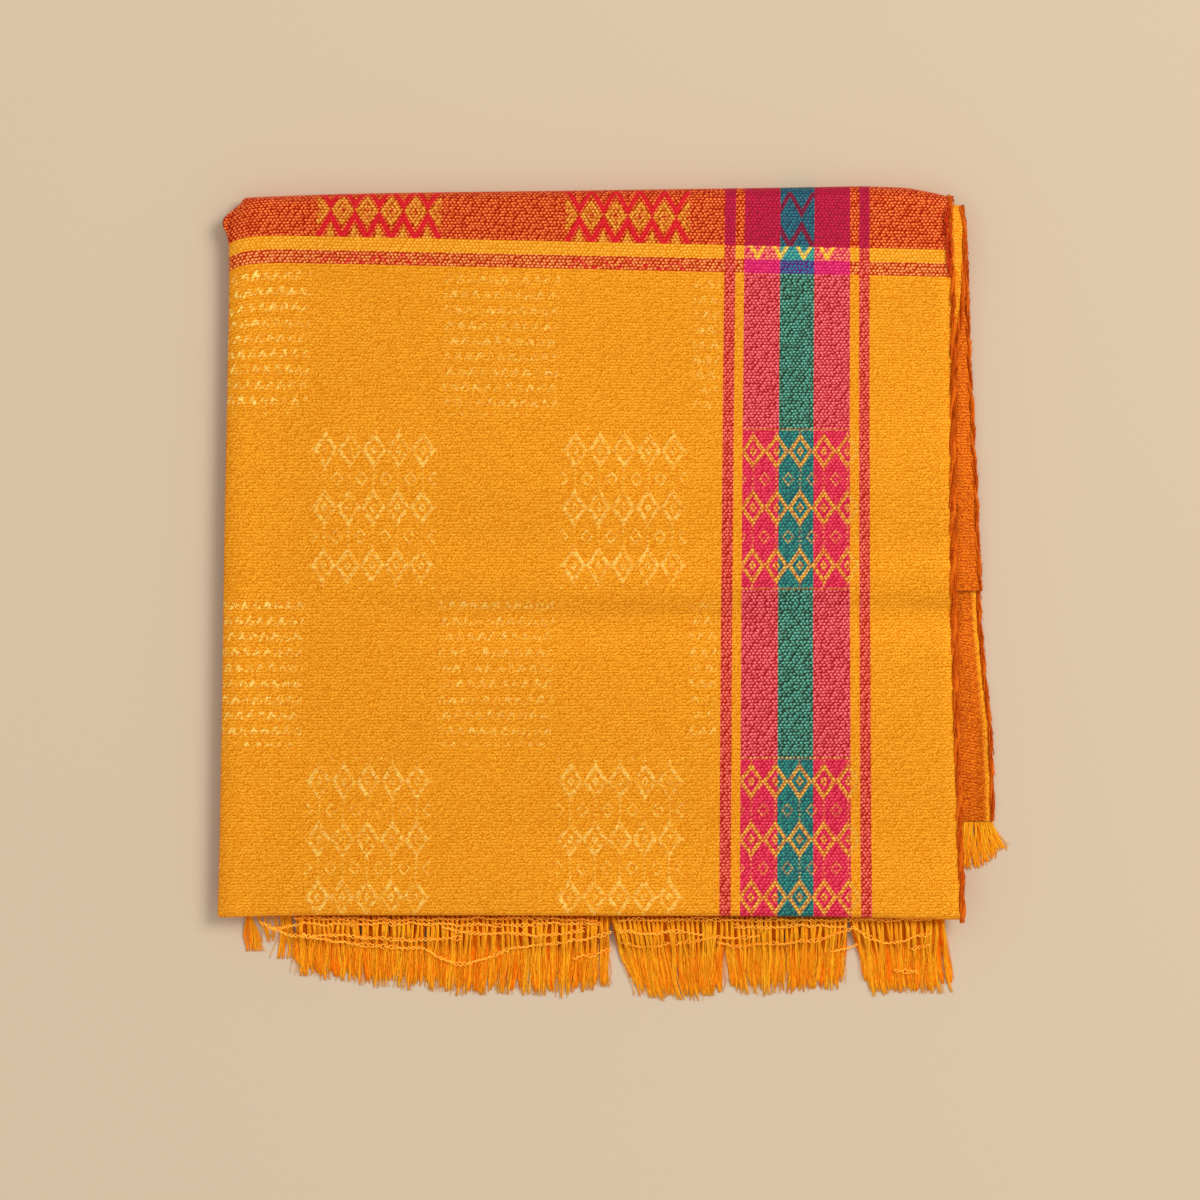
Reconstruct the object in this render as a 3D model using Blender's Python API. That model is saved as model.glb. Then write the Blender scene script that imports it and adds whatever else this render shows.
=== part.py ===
"""A woven dupatta stole, folded into a flat square packet that lies on a table.

The stole is doubled lengthwise, so every panel below is two cloths thick: its fold is at -X and
its two selvedges are at +X. The doubled strip is then folded crosswise into six panels that lie
on each other. The end panel lies lowest, turns up over the pallu fold at +Y and comes back as the
top panel. The other end of the stole is tucked in above the end panel, turned a few degrees, so
that its selvedge and a corner of its fringe stand out at +X.

X runs across the packet, Y along it, Z up. The origin is on the table under the middle of the
packet's box. Lengths in the tables are in millimetres; everything passed to Blender is in metres.
"""

import math
from collections import namedtuple

import bpy
from mathutils import Vector

MM = 0.001

# Driving dimensions.
SEAM = 0.3  # gap between two solids that touch
WALL = 1.8  # a panel's thickness, two cloths with a little air
LEVEL = WALL + SEAM  # rise from one panel to the next
TOP_PANEL_LIFT = 0.4  # room for the top panel's relief above the hidden layers
TOP_FOLD_REACH = 6.0  # half-axis of the pallu fold along Y, at the middle of the wall
TOP_FOLD_RETURN = 8.0  # how far the top panel runs back under the packet, past the fold's centre
BOTTOM_FOLD_RETURN = 6.0
PANEL_SETBACK = 3.8  # hidden panels stop at least this far inside the pallu fold
CREASE_Y = -7.0  # a soft trough across the top panel, over the gap between two half panels
CREASE_DEPTH = 0.3
CREASE_WIDTH = 7.0
SELVEDGE_RADIUS = 1.3  # the twisted selvedge of the top panel
HIDDEN_SELVEDGE_RADIUS = 0.85
HIDDEN_SELVEDGE_GAP = 0.6  # the hidden layers' edges bend in longer facets than their selvedges
FRINGE_THICKNESS = 1.5
OVERHANG_START = 162.5  # past the end panel's selvedge, what lies over it comes down to the table
OVERHANG_RUN = 12.0

# Levels of the panels, counted from the table.
END_LEVEL = 0
INNER_END_LEVEL = 1
HALF_LEVEL = 2
MIDDLE_LEVEL = 3
UPPER_LEVEL = 4
TOP_LEVEL = 5

Reach = namedtuple("Reach", "x y")
Sides = namedtuple("Sides", "y left right")

# How far the pallu fold and the bottom fold reach along Y, across the packet.
PALLU_FOLD = [
    Reach(x=-180.0, y=186.6),
    Reach(x=-127.0, y=188.6),
    Reach(x=-9.0, y=190.3),
    Reach(x=89.0, y=191.7),
    Reach(x=122.0, y=192.2),
    Reach(x=143.0, y=190.9),
    Reach(x=159.5, y=187.0),
]
BOTTOM_FOLD = [
    Reach(x=-185.0, y=-153.2),
    Reach(x=-150.0, y=-152.1),
    Reach(x=-10.0, y=-152.2),
    Reach(x=95.0, y=-152.6),
    Reach(x=165.0, y=-154.2),
]
CORNER_Y = 180.0  # the panels' widths up here place their columns along the pallu fold

# X of each panel's lengthwise fold and of its cloth's edge at the selvedge, down the packet.
TOP_PANEL_SIDES = [
    Sides(y=190.0, left=-174.0, right=160.8),
    Sides(y=186.0, left=-178.6, right=160.2),
    Sides(y=180.0, left=-180.3, right=158.9),
    Sides(y=167.0, left=-180.4, right=158.6),
    Sides(y=147.0, left=-180.2, right=160.2),
    Sides(y=34.0, left=-182.3, right=160.2),
    Sides(y=-46.0, left=-183.5, right=161.4),
    Sides(y=-82.0, left=-184.1, right=162.6),
    Sides(y=-126.0, left=-184.9, right=164.2),
    Sides(y=-154.0, left=-185.7, right=165.0),
]
END_PANEL_SIDES = [
    Sides(y=176.0, left=-179.0, right=158.6),
    Sides(y=-150.0, left=-173.6, right=156.8),
]
INNER_END_SIDES = [
    Sides(y=184.0, left=-179.0, right=166.2),
    Sides(y=86.0, left=-175.5, right=169.6),
    Sides(y=34.0, left=-173.0, right=171.9),
    Sides(y=-12.0, left=-170.8, right=173.8),
    Sides(y=-46.0, left=-169.0, right=177.0),
    Sides(y=-74.0, left=-167.6, right=179.5),
    Sides(y=-108.0, left=-166.0, right=180.3),
]
HALF_PANEL_SIDES = [
    Sides(y=184.0, left=-179.5, right=167.0),
    Sides(y=140.0, left=-178.4, right=167.3),
    Sides(y=86.0, left=-176.8, right=170.1),
    Sides(y=34.0, left=-175.2, right=172.5),
    Sides(y=0.0, left=-174.2, right=174.2),
]

# The other end of the stole, and the half panel above it.
INNER_END_Y = -108.0
HALF_PANEL_Y = 0.5
END_PANEL_Y = -150.0

# The hidden layers between them and the top panel: each row is one doubled panel of the stack. A
# layer with a setback reaches up to that distance inside the pallu fold, and one without ends at top.
Layer = namedtuple(
    "Layer", "level top setback bottom left_top left_bottom right_top right_waist right_bottom"
)
HIDDEN_LAYERS = [
    Layer(
        level=HALF_LEVEL,
        top=-5.0,
        setback=None,
        bottom=-149.5,
        left_top=-180.0,
        left_bottom=-182.8,
        right_top=162.0,
        right_waist=162.4,
        right_bottom=163.6,
    ),
    Layer(
        level=MIDDLE_LEVEL,
        top=None,
        setback=PANEL_SETBACK,
        bottom=-150.5,
        left_top=-181.8,
        left_bottom=-183.6,
        right_top=165.4,
        right_waist=161.6,
        right_bottom=163.0,
    ),
    Layer(
        level=UPPER_LEVEL,
        top=None,
        setback=PANEL_SETBACK + 2.2,
        bottom=-142.6,
        left_top=-179.4,
        left_bottom=-184.0,
        right_top=166.4,
        right_waist=161.0,
        right_bottom=164.2,
    ),
]
WAIST_Y = 100.0  # the hidden layers' right edge draws in down to here, then follows the top panel
LAYER_ROUNDING = 0.7
GROOVE_DEPTH = 1.3
CORNER_SHARE = 0.016

# The fringe of the end panel: how far its threads reach below the bottom fold.
FRINGE_HEAD_Y = -150.3
END_FRINGE_REACH = [
    Reach(x=-173.4, y=-170.0),
    Reach(x=-164.5, y=-170.4),
    Reach(x=-163.0, y=-174.0),
    Reach(x=-149.0, y=-176.0),
    Reach(x=-146.5, y=-180.6),
    Reach(x=-127.0, y=-183.8),
    Reach(x=-98.0, y=-186.4),
    Reach(x=-66.0, y=-189.6),
    Reach(x=-23.0, y=-189.8),
    Reach(x=-1.5, y=-186.8),
    Reach(x=1.0, y=-171.0),
    Reach(x=5.5, y=-171.0),
    Reach(x=8.5, y=-187.0),
    Reach(x=20.0, y=-191.4),
    Reach(x=46.0, y=-191.8),
    Reach(x=57.0, y=-188.6),
    Reach(x=108.0, y=-187.4),
    Reach(x=113.0, y=-183.4),
    Reach(x=121.0, y=-183.8),
    Reach(x=125.0, y=-189.6),
    Reach(x=156.4, y=-189.4),
]

# The fringe of the tucked-in end.
INNER_FRINGE_REACH = [
    Reach(x=-166.0, y=-128.0),
    Reach(x=50.0, y=-129.0),
    Reach(x=171.0, y=-130.0),
    Reach(x=185.5, y=-123.5),
]
INNER_FRINGE_SPREAD = 5.2  # the threads at the selvedge fan out this far past it

GOLD = ("woven_gold", (0.83, 0.29, 0.013), 0.55)
DEEP_GOLD = ("folded_gold", (0.70, 0.20, 0.008), 0.6)
RUST = ("selvedge_rust", (0.62, 0.08, 0.004), 0.65)
THREAD = ("fringe_thread", (0.72, 0.22, 0.007), 0.6)


def clear_scene():
    for obj in list(bpy.data.objects):
        bpy.data.objects.remove(obj, do_unlink=True)


def material(finish):
    """A plain cloth material; finish is its name, linear colour and roughness."""
    name, colour, roughness = finish
    made = bpy.data.materials.get(name) or bpy.data.materials.new(name)
    made.use_nodes = True
    shader = made.node_tree.nodes["Principled BSDF"]
    shader.inputs["Base Color"].default_value = (*colour, 1.0)
    shader.inputs["Roughness"].default_value = roughness
    shader.inputs["Metallic"].default_value = 0.0
    return made


def mix(low, high, share):
    return low + (high - low) * share


def smoothstep(share):
    share = min(max(share, 0.0), 1.0)
    return share * share * (3.0 - 2.0 * share)


def slope(rows, index):
    """The slope of a curve through rows of (at, value), at one row: its neighbours' chord."""
    before = rows[max(index - 1, 0)]
    after = rows[min(index + 1, len(rows) - 1)]
    return (after[1] - before[1]) / (after[0] - before[0])


def smooth(rows, at):
    """The value at `at` on a smooth curve through rows of (at, value), held past its ends."""
    rows = sorted(rows)
    if at <= rows[0][0]:
        return rows[0][1]
    if at >= rows[-1][0]:
        return rows[-1][1]
    index = max(i for i, row in enumerate(rows) if row[0] <= at)
    index = min(index, len(rows) - 2)
    (at_0, value_0), (at_1, value_1) = rows[index], rows[index + 1]
    run = at_1 - at_0
    share = (at - at_0) / run
    rise_0 = slope(rows, index) * run
    rise_1 = slope(rows, index + 1) * run
    square = share * share
    cube = square * share
    return (
        (2 * cube - 3 * square + 1) * value_0
        + (cube - 2 * square + share) * rise_0
        + (3 * square - 2 * cube) * value_1
        + (cube - square) * rise_1
    )


def left_of(sides, y):
    return smooth([(row.y, row.left) for row in sides], y)


def right_of(sides, y):
    return smooth([(row.y, row.right) for row in sides], y)


def pallu_fold_y(sides, across):
    """How far the pallu fold reaches over one column of a panel."""
    return smooth(PALLU_FOLD, mix(left_of(sides, CORNER_Y), right_of(sides, CORNER_Y), across))


def in_metres(points):
    return [Vector(point) * MM for point in points]


def add_mesh(name, points, faces, finish):
    mesh = bpy.data.meshes.new(name)
    mesh.from_pydata(in_metres(points), [], faces)
    mesh.validate()
    mesh.shade_smooth()
    mesh.set_sharp_from_angle(angle=math.radians(35))
    mesh.materials.append(material(finish))
    obj = bpy.data.objects.new(name, mesh)
    bpy.context.scene.collection.objects.link(obj)
    return obj


def add_wall(name, upper, lower, finish):
    """A closed wall between two grids of points: upper[row][column] lies over lower[row][column].

    Rows run along +Y and columns along +X where the wall lies flat.
    """
    rows = len(upper)
    columns = len(upper[0])
    points = [point for row in upper for point in row]
    points += [point for row in lower for point in row]
    under = rows * columns

    def at(row, column, offset=0):
        return offset + row * columns + column

    faces = []
    for row in range(rows - 1):
        for column in range(columns - 1):
            corners = ((row, column), (row, column + 1), (row + 1, column + 1), (row + 1, column))
            faces.append([at(*corner) for corner in corners])
            faces.append([at(*corner, under) for corner in reversed(corners)])
    for column in range(columns - 1):
        for row, start, end in ((0, column + 1, column), (rows - 1, column, column + 1)):
            faces.append([at(row, start), at(row, end), at(row, end, under), at(row, start, under)])
    for row in range(rows - 1):
        for side, start, end in ((0, row, row + 1), (columns - 1, row + 1, row)):
            faces.append([at(start, side), at(end, side), at(end, side, under), at(start, side, under)])
    return add_mesh(name, points, faces, finish)


def add_stack(name, rings, finish):
    """A closed solid through horizontal rings of points, lowest first, each turning the same way."""
    count = len(rings[0])
    points = [point for ring in rings for point in ring]
    faces = [list(reversed(range(count)))]
    for level in range(len(rings) - 1):
        for index in range(count):
            following = (index + 1) % count
            base = level * count
            above = base + count
            faces.append([base + index, base + following, above + following, above + index])
    faces.append([(len(rings) - 1) * count + index for index in range(count)])
    return add_mesh(name, points, faces, finish)


def add_cord(name, path, radius, finish):
    """A round cord along a path of points."""
    curve = bpy.data.curves.new(name, "CURVE")
    curve.dimensions = "3D"
    curve.bevel_depth = radius * MM
    curve.bevel_resolution = 2
    curve.use_fill_caps = True
    spline = curve.splines.new("POLY")
    spline.points.add(len(path) - 1)
    for spot, point in zip(spline.points, in_metres(path)):
        spot.co = (*point, 1.0)
    curve.materials.append(material(finish))
    obj = bpy.data.objects.new(name, curve)
    bpy.context.scene.collection.objects.link(obj)
    return obj


def shares(count, rounded_start=(), rounded_end=()):
    """Shares from 0 to 1 in even steps, with extra ones close to an end that is rounded."""
    even = [index / count for index in range(count + 1)]
    return sorted(set(even) | set(rounded_start) | {1.0 - share for share in rounded_end})


def overhang(x):
    """How far a panel has come down towards the table at x, past the end panel's selvedge."""
    return INNER_END_LEVEL * LEVEL * smoothstep((x - OVERHANG_START) / OVERHANG_RUN)


def relief(x, y):
    """The top panel's height over its level: a soft trough that fades towards the lengthwise fold."""
    trough = CREASE_DEPTH * math.exp(-(((y - CREASE_Y) / CREASE_WIDTH) ** 2))
    return -trough * smoothstep((x + 160.0) / 120.0)


# ---- the top panel, round the pallu fold and the bottom fold -------------------------------------


def arc(centre_y, centre_z, reach, height, start, end, steps):
    """Points on part of an ellipse in the YZ plane, from one angle to another, both in degrees."""
    angles = [math.radians(mix(start, end, step / steps)) for step in range(steps + 1)]
    return [(centre_y + reach * math.cos(angle), centre_z + height * math.sin(angle)) for angle in angles]


def top_panel_path(across):
    """The wall's middle line in Y and Z: under the pallu fold, over the packet, round the bottom fold."""
    half = WALL / 2
    table_z = half
    top_z = TOP_LEVEL * LEVEL + TOP_PANEL_LIFT + half
    upper_z = UPPER_LEVEL * LEVEL + half
    fold_height = (top_z - table_z) / 2
    fold_y = pallu_fold_y(TOP_PANEL_SIDES, across) - half - TOP_FOLD_REACH
    turn = (top_z - upper_z) / 2
    foot = TOP_PANEL_SIDES[-1]
    turn_y = smooth(BOTTOM_FOLD, mix(foot.left, foot.right, across)) + half + turn
    path = [(fold_y - TOP_FOLD_RETURN, table_z), (fold_y - TOP_FOLD_RETURN / 2, table_z)]
    path += arc(fold_y, table_z + fold_height, TOP_FOLD_REACH, fold_height, -90, 90, 10)
    for share in (0.03, 0.1, 0.2, 0.3, 0.4, 0.46, 0.5, 0.535, 0.56, 0.585, 0.62, 0.7, 0.8, 0.9, 0.97):
        path.append((mix(fold_y, turn_y, share), top_z))
    path += arc(turn_y, upper_z + turn, turn, turn, 90, 270, 6)
    path.append((turn_y + BOTTOM_FOLD_RETURN, upper_z))
    return path


def normal(path, index):
    """The unit normal of a path in the YZ plane, on its outer side."""
    before = path[max(index - 1, 0)]
    after = path[min(index + 1, len(path) - 1)]
    along_y = after[0] - before[0]
    along_z = after[1] - before[1]
    length = math.hypot(along_y, along_z)
    return along_z / length, -along_y / length


def lengthwise_fold(sides, y, across):
    """The half thickness of a panel: full, but rounded where the cloth turns at its lengthwise fold."""
    inside = across * (right_of(sides, y) - left_of(sides, y))
    radius = WALL / 2
    short = max(0.0, radius - inside)
    return max(math.sqrt(radius * radius - short * short), radius * 0.4)


def top_panel():
    """The wall that shows: rows follow the path backwards, so that they run along +Y on top."""
    outer = []
    inner = []
    columns = shares(16, rounded_start=(0.0008, 0.0026), rounded_end=(0.014,))
    paths = [top_panel_path(across) for across in columns]
    for index in reversed(range(len(paths[0]))):
        outer_row = []
        inner_row = []
        for across, path in zip(columns, paths):
            y, z = path[index]
            on_top = z > TOP_LEVEL * LEVEL
            x = mix(left_of(TOP_PANEL_SIDES, y), right_of(TOP_PANEL_SIDES, y), across)
            z += relief(x, y) if on_top else 0.0
            out_y, out_z = normal(path, index)
            half = lengthwise_fold(TOP_PANEL_SIDES, y, across)
            outer_row.append((x, y + out_y * half, z + out_z * half))
            inner_row.append((x, y - out_y * half, z - out_z * half))
        outer.append(outer_row)
        inner.append(inner_row)
    add_wall("top_panel", outer, inner, GOLD)


# ---- the flat panels underneath -------------------------------------------------------------------


def flat_panel(name, sides, level, bottom, top_setback, rows, columns, rests=False):
    """A doubled panel at one level. One that rests on the table keeps a flat underside."""
    upper = []
    lower = []
    for along in rows:
        upper_row = []
        lower_row = []
        for across in columns:
            top = pallu_fold_y(sides, across) - top_setback
            y = mix(bottom, top, along)
            x = mix(left_of(sides, y), right_of(sides, y), across)
            half = lengthwise_fold(sides, y, across)
            middle = level * LEVEL + WALL / 2
            fall = overhang(x) if level else 0.0
            upper_row.append((x, y, middle + half - fall))
            lower_row.append((x, y, 0.0 if rests else middle - half - fall))
        upper.append(upper_row)
        lower.append(lower_row)
    add_wall(name, upper, lower, GOLD)


def end_panel():
    """The lowest panel. It meets the top panel's return under the pallu fold."""
    setback = WALL / 2 + TOP_FOLD_REACH + TOP_FOLD_RETURN + SEAM
    columns = shares(10, rounded_start=(0.0008, 0.0026))
    flat_panel(
        "end_panel", END_PANEL_SIDES, END_LEVEL, END_PANEL_Y, setback, shares(8), columns, rests=True
    )


def inner_end_panel():
    """The tucked-in end of the stole, turned, so that its selvedge comes out past the top panel's."""
    columns = shares(10, rounded_start=(0.0008, 0.0026), rounded_end=(0.01, 0.02, 0.03, 0.04))
    setback = PANEL_SETBACK + 1.6
    flat_panel(
        "inner_end_panel", INNER_END_SIDES, INNER_END_LEVEL, INNER_END_Y, setback, shares(12), columns
    )


def inner_half_panel():
    """A panel folded back on itself half way down the packet, over the tucked-in end."""
    columns = shares(10, rounded_start=(0.0008, 0.0026), rounded_end=(0.01, 0.02, 0.03))
    flat_panel(
        "inner_half_panel", HALF_PANEL_SIDES, HALF_LEVEL, HALF_PANEL_Y, PANEL_SETBACK, shares(8), columns
    )


# ---- the hidden layers ----------------------------------------------------------------------------


def rounded_square(corner, side_steps, corner_steps):
    """A closed outline in the unit square with round corners, as shares across and along."""
    outline = []
    for turn, (across, along) in enumerate(((1, 0), (1, 1), (0, 1), (0, 0))):
        centre_x = abs(across - corner)
        centre_y = abs(along - corner)
        for step in range(corner_steps + 1):
            angle = math.radians(90 * (turn - 1 + step / corner_steps))
            outline.append((centre_x + corner * math.cos(angle), centre_y + corner * math.sin(angle)))
        last = outline[-1]
        direction = ((0, 1), (-1, 0), (0, -1), (1, 0))[turn]
        for step in range(1, side_steps):
            run = (1 - 2 * corner) * step / side_steps
            outline.append((last[0] + direction[0] * run, last[1] + direction[1] * run))
    return outline


def layer_top(layer, across):
    if layer.setback is None:
        return layer.top
    return smooth(PALLU_FOLD, mix(layer.left_top, layer.right_top, across)) - layer.setback


def layer_ring(layer, inset, z):
    """One layer's outline at height z, drawn in from its edges by inset."""
    ring = []
    for across, along in rounded_square(CORNER_SHARE, side_steps=9, corner_steps=3):
        top = layer_top(layer, across)
        y = mix(layer.bottom + inset, top - inset, along)
        down = (layer.bottom - y) / (layer.bottom - 184.0)
        left = mix(layer.left_bottom, layer.left_top, down)
        rows = [(-150.0, layer.right_bottom), (WAIST_Y, layer.right_waist), (150.0, layer.right_top)]
        ring.append((mix(left + inset, smooth(rows, y) - inset, across), y, z))
    return ring


def hidden_layers():
    """The stack that the panels hide, as one solid with a groove between each layer and the next."""
    rings = []
    for index, layer in enumerate(HIDDEN_LAYERS):
        base = layer.level * LEVEL
        if index:
            rings.append(layer_ring(layer, GROOVE_DEPTH, base))
        rings.append(layer_ring(layer, LAYER_ROUNDING, base))
        rings.append(layer_ring(layer, 0.0, base + WALL * 0.3))
        rings.append(layer_ring(layer, 0.0, base + WALL * 0.7))
        rings.append(layer_ring(layer, LAYER_ROUNDING, base + WALL))
        if layer is not HIDDEN_LAYERS[-1]:
            rings.append(layer_ring(layer, GROOVE_DEPTH, base + WALL))
            rings.append(layer_ring(layer, GROOVE_DEPTH, base + LEVEL - 0.02))
    add_stack("hidden_layers", rings, DEEP_GOLD)


# ---- the selvedges --------------------------------------------------------------------------------


def top_selvedge():
    """The twisted edge of the top panel, from the middle of the pallu fold to the bottom fold."""
    path = top_panel_path(1.0)
    top_z = max(z for _, z in path)
    offset = SEAM + SELVEDGE_RADIUS
    points = []
    for y, z in path:
        on_top = z > top_z - 0.01
        on_pallu_fold = y > 0.0 and z > top_z / 2
        if on_top or on_pallu_fold:
            x = right_of(TOP_PANEL_SIDES, y) + offset
            points.append((x, y, z + (relief(x, y) if on_top else 0.0)))
    last = points[-1]
    points.append((last[0] + 0.4, last[1] - 2.2, last[2] - 0.3))
    add_cord("selvedge_top", points, SELVEDGE_RADIUS, RUST)


def panel_selvedges():
    """The selvedges of the flat panels, each beside the panel's edge and half way up its wall."""
    Edge = namedtuple("Edge", "name sides level bottom top")
    edges = [
        Edge("selvedge_end", END_PANEL_SIDES, END_LEVEL, END_PANEL_Y, 170.0),
        Edge("selvedge_inner_end", INNER_END_SIDES, INNER_END_LEVEL, INNER_END_Y, 181.0),
        Edge("selvedge_inner_half", HALF_PANEL_SIDES, HALF_LEVEL, HALF_PANEL_Y + 1.0, 182.4),
    ]
    offset = SEAM + HIDDEN_SELVEDGE_RADIUS
    for edge in edges:
        points = []
        for share in shares(14):
            y = mix(edge.top, edge.bottom, share)
            x = right_of(edge.sides, y) + offset
            fall = overhang(x) if edge.level else 0.0
            points.append((x, y, edge.level * LEVEL + WALL / 2 - fall))
        add_cord(edge.name, points, HIDDEN_SELVEDGE_RADIUS, RUST)


def hidden_selvedges():
    """One selvedge beside each hidden layer."""
    names = ("selvedge_hidden_lower", "selvedge_hidden_middle", "selvedge_hidden_upper")
    offset = HIDDEN_SELVEDGE_GAP + HIDDEN_SELVEDGE_RADIUS
    for name, layer in zip(names, HIDDEN_LAYERS):
        top = layer_top(layer, 1.0) - 2.0
        rows = [(-150.0, layer.right_bottom), (WAIST_Y, layer.right_waist), (150.0, layer.right_top)]
        points = []
        for share in shares(12):
            y = mix(top, layer.bottom + 3.0, share)
            points.append((smooth(rows, y) + offset, y, layer.level * LEVEL + WALL / 2))
        add_cord(name, points, HIDDEN_SELVEDGE_RADIUS, RUST)


# ---- the fringes ----------------------------------------------------------------------------------


def end_fringe():
    """The reach of the end panel's fringe, flat on the table below the bottom fold."""
    upper = [[], []]
    lower = [[], []]
    for reach in END_FRINGE_REACH:
        for row, y in enumerate((reach.y, FRINGE_HEAD_Y)):
            upper[row].append((reach.x, y, FRINGE_THICKNESS))
            lower[row].append((reach.x, y, 0.0))
    add_wall("fringe_end", upper, lower, THREAD)


def inner_end_fringe():
    """The reach of the tucked-in end's fringe, which shows only where it fans out at the selvedge."""
    upper = []
    lower = []
    head = INNER_END_Y - SEAM
    for along in (0.0, 0.5, 1.0):
        upper_row = []
        lower_row = []
        for across in shares(10, rounded_end=(0.02, 0.04, 0.06)):
            left = left_of(INNER_END_SIDES, INNER_END_Y)
            right = right_of(INNER_END_SIDES, INNER_END_Y) + INNER_FRINGE_SPREAD * (1.0 - along)
            x = mix(left, right, across)
            y = mix(smooth(INNER_FRINGE_REACH, x), head, along)
            base = INNER_END_LEVEL * LEVEL - overhang(x)
            upper_row.append((x, y, base + FRINGE_THICKNESS))
            lower_row.append((x, y, base))
        upper.append(upper_row)
        lower.append(lower_row)
    add_wall("fringe_inner_end", upper, lower, THREAD)


def build():
    clear_scene()
    top_panel()
    end_panel()
    inner_end_panel()
    inner_half_panel()
    hidden_layers()
    top_selvedge()
    panel_selvedges()
    hidden_selvedges()
    end_fringe()
    inner_end_fringe()


build()
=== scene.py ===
"""The looks of a folded dupatta stole: thin shells of woven cloth, twisted selvedges and thread fringes.

The stole is doubled lengthwise, so each panel is two cloths that turn into each other at -X and end
in two selvedges at +X. Every panel's shape is felt off its CAD solid with straight rays. One relief,
worked out for the height of the whole packet, then presses all the panels alike, so that a trough
on top is there underneath too and no cloth passes through another.

Lengths are in millimetres until a mesh is made. The cloth's own coordinates, which every woven
pattern is charted in, travel with the mesh as the attribute "weave": across, from the border's
edge towards the lengthwise fold, and along, from the pallu's golden stripe.
"""

import math
from collections import namedtuple
from types import SimpleNamespace

import bpy
import numpy as np
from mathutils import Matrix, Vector
from mathutils.bvhtree import BVHTree


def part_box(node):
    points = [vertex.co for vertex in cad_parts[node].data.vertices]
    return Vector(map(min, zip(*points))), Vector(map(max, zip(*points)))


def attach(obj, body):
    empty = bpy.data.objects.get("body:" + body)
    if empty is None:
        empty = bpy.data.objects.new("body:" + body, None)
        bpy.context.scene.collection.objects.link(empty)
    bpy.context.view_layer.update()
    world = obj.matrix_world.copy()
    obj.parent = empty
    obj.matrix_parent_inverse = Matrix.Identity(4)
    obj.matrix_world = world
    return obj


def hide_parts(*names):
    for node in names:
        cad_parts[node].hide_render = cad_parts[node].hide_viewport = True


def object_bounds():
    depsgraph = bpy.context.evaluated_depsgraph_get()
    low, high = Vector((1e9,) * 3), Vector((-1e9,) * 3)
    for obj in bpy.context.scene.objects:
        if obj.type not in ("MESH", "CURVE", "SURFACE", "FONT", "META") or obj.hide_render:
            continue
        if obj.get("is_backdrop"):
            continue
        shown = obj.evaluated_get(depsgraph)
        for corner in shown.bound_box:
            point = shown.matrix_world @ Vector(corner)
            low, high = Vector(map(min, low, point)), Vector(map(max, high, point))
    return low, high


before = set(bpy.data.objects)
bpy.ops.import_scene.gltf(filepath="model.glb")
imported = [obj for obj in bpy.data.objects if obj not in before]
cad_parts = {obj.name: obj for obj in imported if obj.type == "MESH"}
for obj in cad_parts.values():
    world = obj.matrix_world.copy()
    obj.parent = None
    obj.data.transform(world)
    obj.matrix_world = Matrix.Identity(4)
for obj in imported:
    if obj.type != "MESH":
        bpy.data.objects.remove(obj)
cad_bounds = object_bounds()

MM = 0.001

# The packet's build-up, as in the CAD model.
WALL = 1.8  # a panel: two cloths and a little air
LEVEL = 2.1  # rise from one panel to the next
UPPER_LEVEL = 4
MIDDLE_LEVEL = 3
HALF_LEVEL = 2
TOP_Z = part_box("top_panel")[1].z / MM
HALF_GAP = 0.85  # from a panel's middle to either of its cloths

# The border's place: from the selvedge to the outer edge of its outer stripe.
BORDER_INSET = 38.2


# ---- small helpers ----


def mix(low, high, share):
    return low + (high - low) * share


def run_share(value, run):
    """How far a value has come from the first number of a run to the second."""
    return (value - run[0]) / (run[1] - run[0])


def smoothstep(share):
    share = np.clip(share, 0.0, 1.0)
    return share * share * (3.0 - 2.0 * share)


def bell(offset, width):
    return np.exp(-((offset / width) ** 2))


def curve(rows, at):
    """A smooth curve through a short list of (at, value) rows, held past its ends."""
    rows = sorted(rows)
    knots = np.array([row[0] for row in rows], float)
    values = np.array([row[1] for row in rows], float)
    slopes = np.gradient(values, knots)
    at = np.clip(np.asarray(at, float), knots[0], knots[-1])
    index = np.clip(np.searchsorted(knots, at, side="right") - 1, 0, len(knots) - 2)
    run = knots[index + 1] - knots[index]
    share = (at - knots[index]) / run
    square, cube = share**2, share**3
    return (
        (2 * cube - 3 * square + 1) * values[index]
        + (cube - 2 * square + share) * run * slopes[index]
        + (3 * square - 2 * cube) * values[index + 1]
        + (cube - square) * run * slopes[index + 1]
    )


RIPPLE_CELLS = 96  # the noise repeats after this many cells
RIPPLE_MIDDLE = 40.0  # and the packet's middle lies this many cells in


class Ripples:
    """Smooth seeded noise over the packet, between -1 and 1."""

    def __init__(self, cell_x, cell_y, seed):
        self.cell = (cell_x, cell_y)
        self.values = np.random.default_rng(seed).uniform(-1.0, 1.0, (RIPPLE_CELLS, RIPPLE_CELLS))

    def __call__(self, x, y):
        across = np.asarray(x) / self.cell[0] + RIPPLE_MIDDLE
        along = np.asarray(y) / self.cell[1] + RIPPLE_MIDDLE
        column = np.floor(across).astype(int)
        row = np.floor(along).astype(int)
        share_x = smoothstep(across - column)
        share_y = smoothstep(along - row)

        def value(step_x, step_y):
            return self.values[(row + step_y) % RIPPLE_CELLS, (column + step_x) % RIPPLE_CELLS]

        near = mix(value(0, 0), value(1, 0), share_x)
        far = mix(value(0, 1), value(1, 1), share_x)
        return mix(near, far, share_y)


# ---- the packet's form, felt off the CAD solids ----


FAR = 400.0  # rays start this far out
FELT_STEP = 1.5  # between one ray and the next
SIDE_SOFTNESS = 9.0  # edges are smoothed over this reach
FOLD_SOFTNESS = 6.0


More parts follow.
